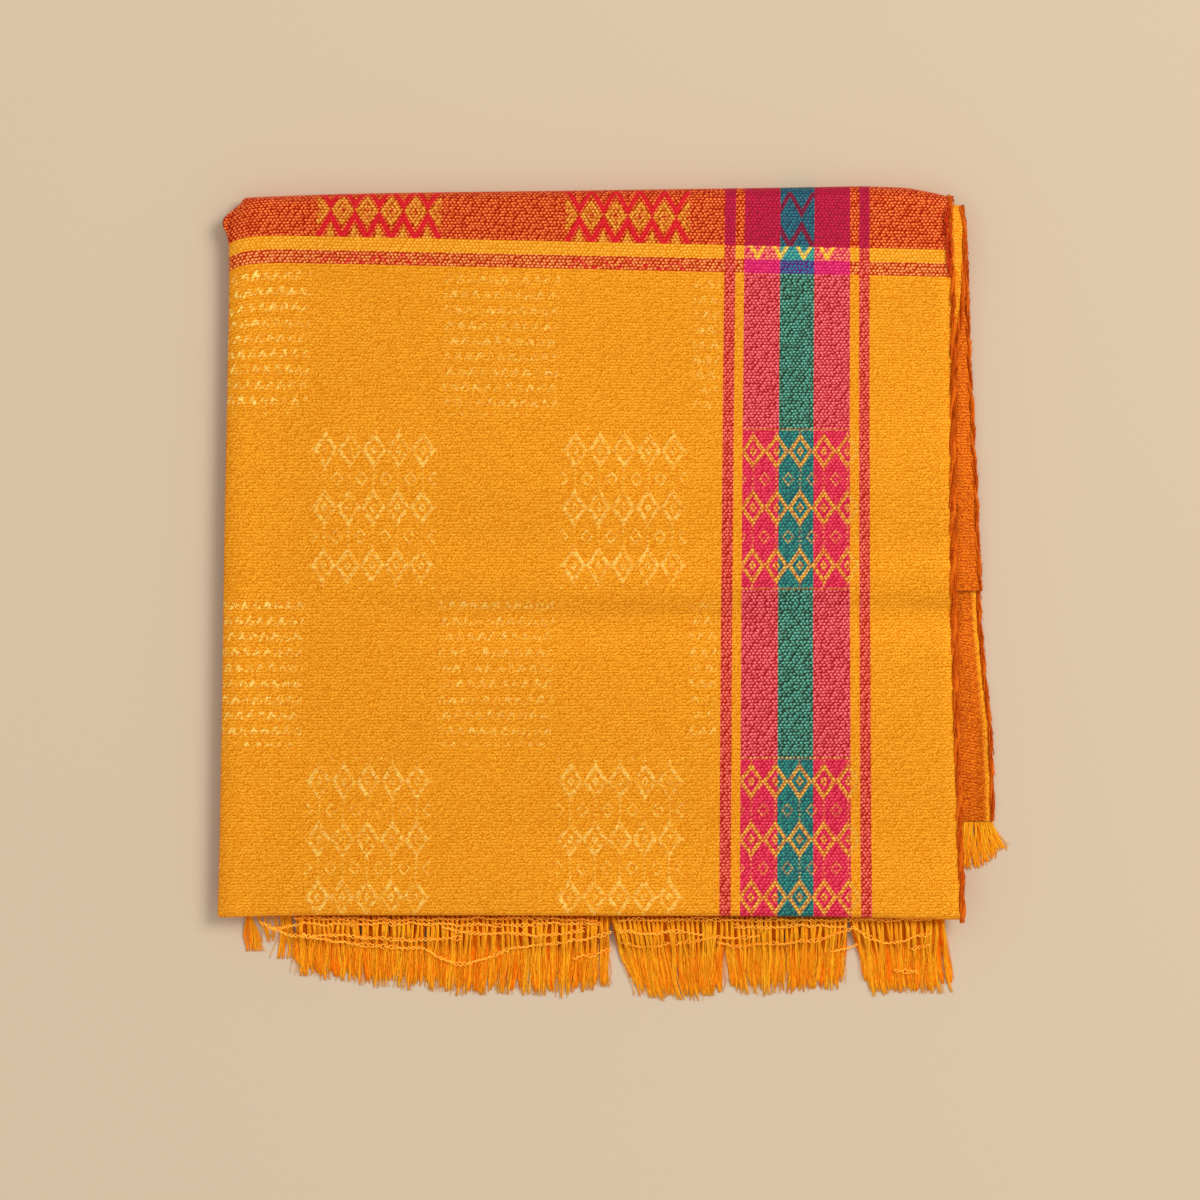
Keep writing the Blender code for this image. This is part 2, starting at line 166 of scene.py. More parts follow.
class Solid:
    """One CAD node, felt with straight rays."""

    def __init__(self, node):
        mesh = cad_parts[node].data
        points = [vertex.co / MM for vertex in mesh.vertices]
        self.tree = BVHTree.FromPolygons(points, [list(face.vertices) for face in mesh.polygons])
        low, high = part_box(node)
        self.low = np.array(low) / MM
        self.high = np.array(high) / MM

    def feel(self, origin, direction):
        """Where a ray first meets the solid, or None."""
        return self.tree.ray_cast(Vector(origin), Vector(direction))[0]

    def side(self, y, heights, sign):
        """X of the solid's left (sign -1) or right (sign 1) edge at y, whichever height meets it first."""
        spots = [self.feel((sign * FAR, y, z), (-sign, 0.0, 0.0)) for z in heights]
        found = [spot.x for spot in spots if spot]
        return max(found, key=lambda x: sign * x) if found else None

    def reach(self, x, z, sign):
        """Y of the solid's far end at x, from +Y (sign 1) or -Y (sign -1)."""
        spot = self.feel((x, sign * FAR, z), (0.0, -sign, 0.0))
        return spot.y if spot else None


class Line:
    """A coordinate felt at even steps, with its gaps closed and its facets smoothed away."""

    def __init__(self, felt, low, high, step, softness):
        at = np.arange(low, high + step / 2, step)
        found = [(place, felt(place)) for place in at]
        kept = [(place, value) for place, value in found if value is not None]
        values = np.interp(at, [place for place, _ in kept], [value for _, value in kept])
        reach = max(1, round(softness / step))
        weights = np.hanning(2 * reach + 3)[1:-1]
        padded = np.pad(values, reach, mode="reflect", reflect_type="odd")
        self.at = at
        self.values = np.convolve(padded, weights / weights.sum(), mode="valid")

    def __call__(self, at):
        return np.interp(at, self.at, self.values)


Sides = namedtuple("Sides", "left right")


CORNER = (4.5, 9.0)  # a panel's edges run on straight past its rounded corners, lower and upper


def sides_of(solid, heights):
    """The left and right edges of a panel down the packet."""
    low, high = solid.low[1] + CORNER[0], solid.high[1] - CORNER[1]
    return Sides(*[
        Line(lambda y, sign=sign: solid.side(y, heights, sign), low, high, FELT_STEP, SIDE_SOFTNESS)
        for sign in (-1, 1)
    ])


# ---- relief: what presses the whole packet ----

# Soft troughs and swells across the top panel, as heights down the packet at its selvedge side.
SWELLS = [(190, 0.0), (150, 0.05), (88, -0.16), (56, 0.1), (20, -0.1), (6, 0.1), (-2, 0.02)]
SWELLS += [(-9, -0.34), (-13, -0.36), (-27, 0.05), (-42, 0.16), (-84, 0.02), (-118, -0.16)]
SWELLS += [(-140, 0.16), (-150, 0.3)]
SWELLS_DEPTH = 3.5
SWELLS_FADE = (-150.0, -40.0)  # they fade out towards the lengthwise fold, between these
EDGE_ROLL = 9.0  # the packet's lengthwise edge is soft: it rounds down over this width
EDGE_DROP = 3.0
NEVER_UPRIGHT = 0.97  # a rounded edge stops just short of a quarter turn

broad = Ripples(74.0, 46.0, seed=3)
lengthwise = Ripples(19.0, 90.0, seed=5)
dimples = Ripples(13.0, 9.0, seed=8)
UNEVENNESS = ((broad, 0.2), (lengthwise, 0.05), (dimples, 0.03))  # each with its height
SWELLS_WANDER = 3.0  # the swells stray this far from their places down the packet
SWELLS_UNEVEN = 0.35  # and their depth varies by this share


def relief(x, y):
    """Height in millimetres that the packet's top stands above or below flat."""
    fade = smoothstep(run_share(x, SWELLS_FADE))
    wander = SWELLS_WANDER * broad(x * 0.6, y * 0.3 + 200.0)
    uneven = 1.0 + SWELLS_UNEVEN * broad(x + 60.0, y)
    height = SWELLS_DEPTH * curve(SWELLS, y + wander) * fade * uneven
    for ripples, size in UNEVENNESS:
        height = height + size * ripples(x, y)
    return height


def roll(inside):
    """How far the packet's edge comes down at a distance inside its lengthwise fold."""
    share = np.clip(1.0 - inside / EDGE_ROLL, 0.0, 1.0)
    return EDGE_DROP * (1.0 - np.sqrt(1.0 - share**2 * NEVER_UPRIGHT))


def press(x, y, z, left):
    """Z after the relief, which works on every panel in proportion to its height."""
    inside = np.maximum(x - left, 0.0)
    return z * (1.0 + (relief(x, y) - roll(inside)) / TOP_Z)


# ---- meshes ----


def finish_mesh(name, points, faces, material, attributes):
    """A smooth mesh from millimetre points, with its per-point vector attributes."""
    mesh = bpy.data.meshes.new(name)
    mesh.from_pydata((np.asarray(points) * MM).tolist(), [], faces)
    for label, values in attributes.items():
        layer = mesh.attributes.new(label, "FLOAT_VECTOR", "POINT")
        layer.data.foreach_set("vector", np.asarray(values, np.float32).ravel())
    mesh.shade_smooth()
    mesh.materials.append(material)
    piece = bpy.data.objects.new(name, mesh)
    bpy.context.scene.collection.objects.link(piece)
    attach(piece, "root")
    return piece


def grid_faces(rows, columns, closed=False, start=0):
    """Quads of a grid of points; a closed one joins its last column to its first."""
    wide = columns if closed else columns - 1
    row, column = np.meshgrid(np.arange(rows - 1), np.arange(wide), indexing="ij")
    following = (column + 1) % columns
    corners = (row * columns + column, row * columns + following)
    above = ((row + 1) * columns + following, (row + 1) * columns + column)
    return (np.stack(corners + above, axis=-1).reshape(-1, 4) + start).tolist()


TINY = 1e-9  # keeps a length of nothing from being divided by
NEARLY_UPRIGHT = 0.2  # a tube this close to upright takes its sides from the X axis


class Bundle:
    """Many tubes gathered into one mesh."""

    def __init__(self):
        self.points = []
        self.faces = []
        self.strand = []
        self.count = 0

    def tube(self, centres, radii, sides, tone, turn=0.0, flat=1.0):
        """A tube along centres; its attribute is its tone, the length run so far, and the angle round."""
        centres = np.asarray(centres, float)
        along = np.gradient(centres, axis=0)
        along /= np.linalg.norm(along, axis=1, keepdims=True) + TINY
        sideways = np.cross(along, (0.0, 0.0, 1.0))
        weak = np.linalg.norm(sideways, axis=1) < NEARLY_UPRIGHT
        sideways[weak] = np.cross(along[weak], (1.0, 0.0, 0.0))
        sideways /= np.linalg.norm(sideways, axis=1, keepdims=True)
        upwards = np.cross(sideways, along)
        angles = turn + 2.0 * math.pi * np.arange(sides) / sides
        radii = np.broadcast_to(radii, len(centres))[:, None, None]
        ring = (
            np.cos(angles)[None, :, None] * sideways[:, None, :]
            + flat * np.sin(angles)[None, :, None] * upwards[:, None, :]
        )
        self.points.append((centres[:, None, :] + radii * ring).reshape(-1, 3))
        run = np.concatenate([[0.0], np.cumsum(np.linalg.norm(np.diff(centres, axis=0), axis=1))])
        around = np.broadcast_to(np.arange(sides) / sides, (len(centres), sides))
        lengths = np.broadcast_to(run[:, None], (len(centres), sides))
        tones = np.full((len(centres), sides), tone)
        self.strand.append(np.stack([tones, lengths, around], axis=-1).reshape(-1, 3))
        self.faces += grid_faces(len(centres), sides, closed=True, start=self.count)
        last = self.count + (len(centres) - 1) * sides
        self.faces.append([self.count + index for index in reversed(range(sides))])
        self.faces.append([last + index for index in range(sides)])
        self.count += len(centres) * sides

    def piece(self, name, material, slot):
        points = np.concatenate(self.points)
        return finish_mesh(name, points, self.faces, material, {"strand": np.concatenate(self.strand)})


# ---- the doubled cloth ----

PANEL_WIDTH = 345.0  # across a doubled panel, for sharing out its columns
PINCH = 0.3  # at the selvedges the two cloths come this much closer together
PINCH_WIDTH = 5.0
SELVEDGE_WAVE = 0.3
SELVEDGE_WAVE_WIDTH = 9.0
CLOSE_WAVES = (7.0, 20.0)  # how much closer the selvedge's waves are, along Y and from panel to panel
FOLD_STRIP = 10.0  # columns lie closer within this distance of the lengthwise fold
SELVEDGE_STRIP = 8.0  # and of the selvedges
TURN_COLUMNS = 9  # columns round the lengthwise fold
CLOSING_ROUNDS = 6  # rounds of closing in on where a column meets a crosswise fold
CLOTH_REST = 0.06  # the lowest cloth's height over the table
OVERHANG_START = 162.5  # past the end panel's selvedge, what lies over it comes down to the table
OVERHANG_RUN = 12.0

solids = {
    name: Solid(name)
    for name in (
        "top_panel",
        "end_panel",
        "inner_end_panel",
        "inner_half_panel",
        "hidden_layers",
        "fringe_end",
        "fringe_inner_end",
    )
}
FLAT_TOP_Z = TOP_Z - WALL / 2
FOLD_Z = TOP_Z / 2
top_sides = sides_of(solids["top_panel"], (FLAT_TOP_Z, FOLD_Z))


def level_z(level):
    return level * LEVEL + WALL / 2


def columns_of(fine, coarse, inner):
    """A doubled cloth's columns, from one selvedge round the lengthwise fold to the other.

    Each is (share across, side of the panel's middle from 1 to -1). fine is the step near the edges
    of the outer cloth, coarse the step between them, and inner the inner cloth's step.
    """
    rounded = HALF_GAP / PANEL_WIDTH
    near_fold = FOLD_STRIP / PANEL_WIDTH
    near_selvedge = 1.0 - SELVEDGE_STRIP / PANEL_WIDTH

    def steps(start, end, step):
        return np.linspace(start, end, max(2, math.ceil(abs(end - start) * PANEL_WIDTH / step) + 1))[:-1]

    outer = [
        steps(1.0, near_selvedge, fine),
        steps(near_selvedge, near_fold, coarse),
        steps(near_fold, rounded, fine * 0.6),
    ]
    turn = np.radians(np.linspace(90.0, -90.0, TURN_COLUMNS))
    back = [
        steps(rounded, near_fold, inner / 4),
        steps(near_fold, near_selvedge, inner),
        steps(near_selvedge, 1.0, fine),
        np.array([1.0]),
    ]
    outer = np.concatenate(outer)
    back = np.concatenate(back)
    across = np.concatenate([outer, rounded * (1.0 - np.cos(turn)), back[1:]])
    side = np.concatenate([np.ones(len(outer)), np.sin(turn), -np.ones(len(back) - 1)])
    return across, side


class Ribbon:
    """A panel's middle, row by row along the stole: every row has a Y, a Z and the panel's sides."""

    def __init__(self, columns):
        self.across, self.side = columns
        self.rows = []
        self.marks = {}

    def mark(self, name):
        """Names the next row."""
        self.marks[name] = len(self.rows)

    def row(self, y, z, sides, other=None, share=0.0):
        y = np.broadcast_to(np.asarray(y, float), self.across.shape)
        left = sides.left(y)
        right = sides.right(y)
        if other is not None:
            left = mix(left, other.left(y), share)
            right = mix(right, other.right(y), share)
        self.rows.append((y, np.full(y.shape, float(z)), left, right))

    def run(self, start, end, z, sides, step):
        """A flat stretch."""
        count = max(2, math.ceil(float(np.max(np.abs(np.asarray(end) - start))) / step))
        for share in np.linspace(0.0, 1.0, count + 1):
            self.row(mix(np.asarray(start, float), end, share), z, sides)

    def turn(self, y, z_from, z_to, reach, sides, other=None, steps=8):
        """A crosswise fold about y: half an ellipse, reaching towards -Y or +Y, without its ends."""
        middle = (z_from + z_to) / 2
        half = (z_from - z_to) / 2
        for share in np.arange(1, steps) / steps:
            angle = math.pi * share
            self.row(y + reach * math.sin(angle), middle + half * math.cos(angle), sides, other, share)

    def grids(self):
        return [np.stack(values) for values in zip(*self.rows)]


CORNER_BULGE = 3.0  # under the pallu fold's left corner a turned-in layer pushes the fold out
CORNER_BULGE_Y = 175.0
CORNER_BULGE_WIDTH = 5.6

END_GAP = 0.4  # a solid's very ends are not felt

Panel = namedtuple("Panel", "piece edge length")


def overhang(x):
    return LEVEL * smoothstep((x - OVERHANG_START) / OVERHANG_RUN)


def doubled_cloth(name, ribbon, replaced, material, weave, hangs=False):
    """The two cloths of a panel as one sheet. weave works out its cloth coordinates."""
    y, z, left, right = ribbon.grids()
    side = ribbon.side
    left = left - CORNER_BULGE * bell(y - CORNER_BULGE_Y, CORNER_BULGE_WIDTH) * (z > HALF_LEVEL * LEVEL)
    x = mix(left, right, ribbon.across)
    to_selvedge = right - x
    if hangs:
        z = z - overhang(x)
    step_y, step_z = np.gradient(y, axis=0), np.gradient(z, axis=0)
    length = np.hypot(step_y, step_z) + TINY
    gap = HALF_GAP * (1.0 - PINCH * (1.0 - smoothstep(to_selvedge / PINCH_WIDTH)))
    y = y + step_z / length * gap * side
    z = z - step_y / length * gap * side
    runs = np.hypot(np.diff(y, axis=0), np.diff(z, axis=0))
    along = np.concatenate([np.zeros((1, y.shape[1])), np.cumsum(runs, axis=0)])
    across, down = weave(ribbon, x, y, along, right)
    waves = SELVEDGE_WAVE * lengthwise(right, y * CLOSE_WAVES[0] + z * CLOSE_WAVES[1])
    x = x + waves * (1.0 - smoothstep(to_selvedge / SELVEDGE_WAVE_WIDTH))
    z = np.maximum(press(x, y, z, top_sides.left(y)), CLOTH_REST)
    points = np.stack([x, y, z], axis=-1)
    coordinates = np.stack([across, down, np.broadcast_to(side, x.shape)], axis=-1).reshape(-1, 3)
    faces = grid_faces(*x.shape)
    piece = finish_mesh(name, points.reshape(-1, 3), faces, material, {"weave": coordinates})
    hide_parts(replaced)
    return Panel(piece, (points[:, 0] + points[:, -1]) / 2, float(np.median(along[-1])))


def fold_line(solid, z, sign, sides, across, y, start=END_GAP, square=END_GAP):
    """Y of a crosswise fold over each column, found by closing in on where the column meets it.

    Over the first start millimetres and the last square millimetres the fold runs on straight.
    """
    low, high = solid.low[0] + start, solid.high[0] - square
    line = Line(lambda x: solid.reach(x, z, sign), low, high, FELT_STEP, FOLD_SOFTNESS)
    y = np.full(across.shape, float(y))
    for _ in range(CLOSING_ROUNDS):
        y = line(mix(sides.left(y), sides.right(y), across))
    return y


def plain_weave(start):
    """Cloth coordinates of a panel whose pattern runs straight along its selvedge."""

    def weave(ribbon, x, y, along, right):
        return right - BORDER_INSET - x, start + along

    return weave


# ---- the top panel ----

PALLU_FOLD_REACH = 6.0  # half-axis of the pallu fold along Y, at the panel's middle
PALLU_CORNER = 3.2  # radius of the corner between the pallu fold and the lengthwise fold
UNDER_RETURN = 8.0  # how far the top panel runs back under the packet
INNER_RETURN = 6.0  # and how far past the bottom fold
TOP_STEP = 1.55  # between rows on top
PALLU_STEPS = 26  # round the pallu fold, and round the bottom fold
BOTTOM_STEPS = 12
CORD_OVER = 16  # the top selvedge's yarn starts this many rows before the top
CORD_UNDER = 7  # and ends this many rows past the bottom fold's start
CAD_CORNER = 14.0  # the CAD's own corner is passed over, so that the fold runs on straight
PALLU_Y = 187.0  # roughly where the folds lie, to start closing in on them from
BOTTOM_Y = -152.0
HIDDEN_Y = 180.0
INNER_Y = 184.0
BOTTOM_FOLD_REACH = (FLAT_TOP_Z - level_z(UPPER_LEVEL)) / 2

# The pattern on the top panel, as it lies.
STRIPE_Y = 168.2  # the golden stripe's upper edge, towards the left
STRIPE_X = -146.0
STRIPE_SLOPE = 0.0215  # it runs askew to the fold below it
STRIPE_CURL = 4.6  # and curls round the lengthwise fold
STRIPE_CURL_WIDTH = 7.3
SPREAD = 7.0  # the pattern spreads by this much from the pallu fold to the bottom fold
SPREAD_WIDTH = 118.0
PATTERN_DOWN = (-145.0, 126.0)  # the spread grows down the packet between these
SPREAD_LIMITS = (-0.3, 1.3)
ASKEW_DOWN = (-152.0, -40.0)  # the stripe's slope dies away between these
CURL_DOWN = (-150.0, -90.0)  # and its curl between these
BORDER_FROM_Y = 150.0  # the border is set in from the selvedge's place here


def top_weave(ribbon, x, y, along, right):
    """Cloth coordinates of the top panel, which lies a little askew and spreads towards its end."""
    first = ribbon.marks["top"]
    down = along - along[first] - y[first]
    share = np.clip(run_share(down, PATTERN_DOWN), *SPREAD_LIMITS)
    inwards = top_sides.right(BORDER_FROM_Y) - BORDER_INSET + share**2 - x
    spread = SPREAD * (1.0 - np.exp(-np.maximum(inwards, 0.0) / SPREAD_WIDTH)) * share
    askew = STRIPE_SLOPE * (x - STRIPE_X) * (1.0 - smoothstep(run_share(down, ASKEW_DOWN)))
    inside = np.maximum(x - top_sides.left(y), 0.0)
    curl = STRIPE_CURL * np.exp(-inside / STRIPE_CURL_WIDTH)
    curl = curl * (1.0 - smoothstep(run_share(down, CURL_DOWN)))
    return inwards - spread, down + STRIPE_Y - askew - curl


def rounding(across, radius):
    """How far a crosswise fold falls back where it rounds the corner at the lengthwise fold."""
    share = np.clip(1.0 - across * PANEL_WIDTH / radius, 0.0, 1.0)
    return radius * (1.0 - np.sqrt(1.0 - 0.96 * share**2))


def top_cloth(material):
    """From under the pallu fold, over the packet, round the bottom fold."""
    solid = solids["top_panel"]
    ribbon = Ribbon(columns_of(fine=1.2, coarse=1.65, inner=12.0))
    nose = fold_line(solid, FOLD_Z, 1, top_sides, ribbon.across, PALLU_Y, start=CAD_CORNER)
    nose = nose - rounding(ribbon.across, PALLU_CORNER)
    centre = nose - WALL / 2 - PALLU_FOLD_REACH
    foot_z = level_z(UPPER_LEVEL) + BOTTOM_FOLD_REACH
    foot = fold_line(solid, foot_z, -1, top_sides, ribbon.across, BOTTOM_Y)
    heel = foot + WALL / 2 + BOTTOM_FOLD_REACH
    ribbon.run(centre - UNDER_RETURN, centre, level_z(0), top_sides, 4.0)
    ribbon.turn(centre, level_z(0), FLAT_TOP_Z, PALLU_FOLD_REACH, top_sides, steps=PALLU_STEPS)
    ribbon.mark("top")
    ribbon.run(centre, heel, FLAT_TOP_Z, top_sides, TOP_STEP)
    ribbon.mark("bottom fold")
    ribbon.turn(heel, FLAT_TOP_Z, level_z(UPPER_LEVEL), -BOTTOM_FOLD_REACH, top_sides, steps=BOTTOM_STEPS)
    ribbon.run(heel, heel + INNER_RETURN, level_z(UPPER_LEVEL), top_sides, 3.0)
    return ribbon, doubled_cloth("cloth_top", ribbon, "top_panel", material, top_weave)


# ---- the panels underneath ----

HIDDEN_STEP = 7.0  # between rows that nothing shows
SHOWN_STEP = 4.0  # and between rows whose edge shows
PLAIN_STEP = 9.0  # between their columns

# Along the stole: where each panel underneath begins.
END_START = -370.0
HIDDEN_START = 330.0
HALF_START = 1460.0
INNER_START = 1660.0
SQUARE_CORNER = 15.0  # the hidden fold runs straight out to its selvedge, which shows
HIDDEN_CORNER = 12.0
TUCK_Y = -5.5  # the half panels meet here, under the soft trough across the top
HANGING_DROPS = (0.0, 0.5, 1.0, 1.5, 2.0)


def edge_heights(level, hangs):
    """Heights at which a panel's edges are felt, lower ones too where it hangs."""
    top = level_z(level)
    return tuple(top - drop for drop in HANGING_DROPS) if hangs else (top,)


def end_cloth(material):
    """The lowest panel. It ends in the fringe, and the top panel goes on from it at the pallu fold."""
    solid = solids["end_panel"]
    sides = sides_of(solid, edge_heights(0, False))
    ribbon = Ribbon(columns_of(fine=1.5, coarse=PLAIN_STEP, inner=PLAIN_STEP))
    top = fold_line(solids["top_panel"], FOLD_Z, 1, top_sides, ribbon.across, PALLU_Y)
    top = top - WALL / 2 - PALLU_FOLD_REACH - UNDER_RETURN
    ribbon.run(solid.low[1], top, level_z(0), sides, HIDDEN_STEP)
    return doubled_cloth("cloth_end", ribbon, "end_panel", material, plain_weave(END_START))


def hidden_cloth(material):
    """The three stretches that nothing shows but their edges, one continuous cloth."""
    solid = solids["hidden_layers"]
    upper, middle, lower = (
        sides_of(solid, edge_heights(level, False)) for level in (UPPER_LEVEL, MIDDLE_LEVEL, HALF_LEVEL)
    )
    ribbon = Ribbon(columns_of(fine=1.5, coarse=PLAIN_STEP, inner=PLAIN_STEP))
    reach = LEVEL / 2
    top = fold_line(solid, level_z(UPPER_LEVEL), 1, upper, ribbon.across, HIDDEN_Y, square=SQUARE_CORNER)
    top = top - reach - rounding(ribbon.across, HIDDEN_CORNER)
    bottom = solid.low[1] + WALL / 2 + reach
    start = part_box("top_panel")[0].y / MM + WALL / 2 + 2 * BOTTOM_FOLD_REACH + INNER_RETURN
    ribbon.run(start, top, level_z(UPPER_LEVEL), upper, HIDDEN_STEP)
    ribbon.turn(top, level_z(UPPER_LEVEL), level_z(MIDDLE_LEVEL), reach, upper, middle)
    ribbon.run(top, bottom, level_z(MIDDLE_LEVEL), middle, HIDDEN_STEP)
    ribbon.turn(bottom, level_z(MIDDLE_LEVEL), level_z(HALF_LEVEL), -reach, middle, lower)
    ribbon.run(bottom, TUCK_Y, level_z(HALF_LEVEL), lower, HIDDEN_STEP)
    return doubled_cloth(
        "cloth_hidden", ribbon, "hidden_layers", material, plain_weave(HIDDEN_START)
    )


def half_cloth(material):
    """The panel over the tucked-in end. It hangs past the lower selvedge, and turns under at its top."""
    solid = solids["inner_half_panel"]
    sides = sides_of(solid, edge_heights(HALF_LEVEL, True))
    ribbon = Ribbon(columns_of(fine=1.2, coarse=PLAIN_STEP, inner=PLAIN_STEP))
    reach = LEVEL / 2
    top = fold_line(solid, level_z(HALF_LEVEL), 1, sides, ribbon.across, INNER_Y) - WALL / 2 - reach
    top = top - rounding(ribbon.across, HIDDEN_CORNER)
    ribbon.run(solid.low[1] + END_GAP, top, level_z(HALF_LEVEL), sides, SHOWN_STEP)
    ribbon.turn(top, level_z(HALF_LEVEL), level_z(1), reach, sides)
    return doubled_cloth(
        "cloth_inner_half", ribbon, "inner_half_panel", material, plain_weave(HALF_START), hangs=True
    )


def inner_end_cloth(material):
    """The tucked-in end of the stole, turned, so that its selvedge comes out past the top panel's."""
    solid = solids["inner_end_panel"]
    sides = sides_of(solid, edge_heights(1, True))
    ribbon = Ribbon(columns_of(fine=1.2, coarse=PLAIN_STEP, inner=PLAIN_STEP))
    top = fold_line(solid, level_z(1), 1, sides, ribbon.across, INNER_Y)
    top = top - rounding(ribbon.across, HIDDEN_CORNER)
    ribbon.run(top, solid.low[1], level_z(1), sides, SHOWN_STEP)
    return doubled_cloth(
        "cloth_inner_end", ribbon, "inner_end_panel", material, plain_weave(INNER_START), hangs=True
    )


# ---- selvedges ----

CORD_STEP = 0.9
HAIR = 0.17  # a loose fibre's radius
HAIR_EVERY = 1.6  # and how far apart they spring from the yarn
HAIR_STEPS = 6
HAIR_LIFT = 0.9  # its tip stands up to this far out
TWIST_KNOT = 22.0  # the twist hurries or lags anew from one of these to the next
HURRY = 0.9  # by up to this angle
SWELL = (0.88, 1.12)
FRAY_COUNT = 26
FRAY = 0.26  # a frayed thread's radius
FRAY_BOW = (-2.6, 0.9)  # how far each bows out
FRAY_RUN = (3.0, 9.0)  # and how far down it runs
FRAY_RISE = 1.5
Cord = namedtuple("Cord", "strand spread pitch")
TOP_CORD = Cord(strand=1.05, spread=0.82, pitch=27.0)
HIDDEN_CORD = Cord(strand=0.84, spread=0.6, pitch=25.0)


def even_steps(path, step):
    """A path's points taken again at even steps."""
    run = np.concatenate([[0.0], np.cumsum(np.linalg.norm(np.diff(path, axis=0), axis=1))])
    at = np.linspace(0.0, run[-1], max(2, int(run[-1] / step)) + 1)
    return np.stack([np.interp(at, run, path[:, axis]) for axis in range(3)], axis=-1), at


def twist(bundle, path, cord, seed):
    """Two thick yarns twisted loosely round each other along a path, each fullest where it is on top."""
    draw = np.random.default_rng(seed)
    path, at = even_steps(path, CORD_STEP)
    along = np.gradient(path, axis=0)
    along /= np.linalg.norm(along, axis=1, keepdims=True)
    outwards = np.tile((1.0, 0.0, 0.0), (len(path), 1))
    upwards = np.cross(outwards, along)
    upwards[upwards[:, 2] < -0.5] *= -1.0
    knots = np.arange(0.0, at[-1] + 60.0, TWIST_KNOT)
    hurry = np.interp(at, knots, draw.uniform(-HURRY, HURRY, len(knots)))
    phase = 2.0 * math.pi * at / cord.pitch + hurry
    swell = np.interp(at, knots * 0.4, draw.uniform(*SWELL, len(knots)))
    for strand in range(2):
        angle = phase + strand * math.pi
        sway = cord.spread * (np.cos(angle)[:, None] * outwards + 0.75 * np.sin(angle)[:, None] * upwards)
        fullness = 0.74 + 0.34 * np.cos(angle - 0.9) ** 2
        bundle.tube(path + sway, cord.strand * fullness * swell, 8, 0.3 + 0.4 * strand, flat=0.9)
    for _ in range(int(at[-1] / HAIR_EVERY)):
        angle = draw.uniform(-0.7, 2.4)
        first = draw.integers(0, len(path) - HAIR_STEPS)
        lift = draw.uniform(0.0, HAIR_LIFT) * np.linspace(0.0, 1.0, HAIR_STEPS) ** 2
        lift = lift + (cord.strand + cord.spread * 0.5)
        outward, upward = outwards[first] * math.cos(angle), upwards[first] * math.sin(angle)
        hair = path[first:first + HAIR_STEPS] + lift[:, None] * (outward + upward)
        hair[:, 2] = np.maximum(hair[:, 2], HAIR)
        bundle.tube(hair, HAIR, 3, draw.uniform(0.2, 1.2))


def selvedge(name, panel, cord, material, nodes, first=0, last=None, tail=()):
    """A panel's selvedge yarn, along the outside of its two cloths' edges."""
    path = panel.edge[first:last] + np.array((cord.strand * 0.55, 0.0, 0.1))
    for step in tail:
        path = np.vstack([path, path[-1] + step])
    path[:, 2] = np.maximum(path[:, 2], cord.strand + cord.spread * 0.75)
    bundle = Bundle()
    twist(bundle, path, cord, seed=len(name) * 7 + len(path))
    piece = bundle.piece(name, material, "selvedge")
    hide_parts(*nodes)
    return piece


FRAYED = (156.0, 184.0)  # down the top panel's selvedge, pallu threads have sprung loose between these


def frayed_threads(panel, material):
    """Red weft ends that stand out of the top panel's selvedge beside the pallu, in small loops."""
    draw = np.random.default_rng(41)
    edge = panel.edge[panel.edge[:, 2] > HALF_LEVEL * LEVEL]
    bundle = Bundle()
    for y in np.linspace(*FRAYED, FRAY_COUNT):
        root = edge[np.argmin(np.abs(edge[:, 1] - y))]
        share = np.linspace(0.0, 1.0, 9)
        bow = draw.uniform(*FRAY_BOW) * np.sin(share * math.pi)
        run = draw.uniform(*FRAY_RUN) * share
        rise = FRAY_RISE + 0.7 * np.sin(share * math.pi)
        path = root + np.stack([bow + draw.uniform(-1.0, 0.8), -run, rise], axis=-1)
        bundle.tube(path, FRAY, 4, draw.uniform(0.0, 0.8))
    return bundle.piece("frayed_threads", material, "selvedge")


# ---- fringes ----

BUNDLE_PITCH = 2.35
FRINGE_FOOT = 2.2  # height at which the upper cloth's threads leave it
FRINGE_RISE = 5.0  # and how far they stand up past that
FRINGE_START = -147.5  # the full fringe starts here; a tassel and loose threads hang left of it

FRINGE_FELT_Z = 0.7  # its reach is felt at this height
FRINGE_REACH = 38.0
FRINGE_HEAD = 3.0  # how far under the bottom fold it starts

THREAD = 0.21
BUNDLE_ALONG = (0.0, 0.2, 0.5, 0.9, 1.0)  # along a bundle
BUNDLE_GIRTH = (1.0, 0.72, 0.95, 0.8, 0.3)  # how thick it is there
CROSS_THREAD = 0.25
CROSS_STEP = 0.75

# Where the threads' tips lie beside their roots: they part in a few places, as if combed.
FRINGE_LEAN = [(-148.0, 0.5), (-120.0, -1.0), (-60.0, -1.8), (-20.0, -1.0), (-1.6, -2.4), (-1.2, 11.0)]
FRINGE_LEAN += [(8.0, 8.0), (25.0, 4.0), (45.0, 1.0), (52.6, -2.0), (53.4, 2.4), (80.0, 0.0), (112.0, -2.5)]
FRINGE_LEAN += [(113.0, 8.5), (124.0, 5.0), (140.0, 1.5), (150.0, 3.0), (156.0, 5.5)]

# Left of the full fringe, a tassel and a smaller one: each row is the x of a root and of its tip.
TASSEL = ((-172.2, -172.4), (-171.4, -170.0), (-170.8, -167.4), (-171.0, -165.6))
SMALL_TASSEL = ((-155.0, -158.6), (-153.6, -155.6), (-152.6, -152.4), (-151.6, -149.4))
BETWEEN_TASSELS = (-168.0, -155.0, 1.6)  # single threads, from x to x and how far apart

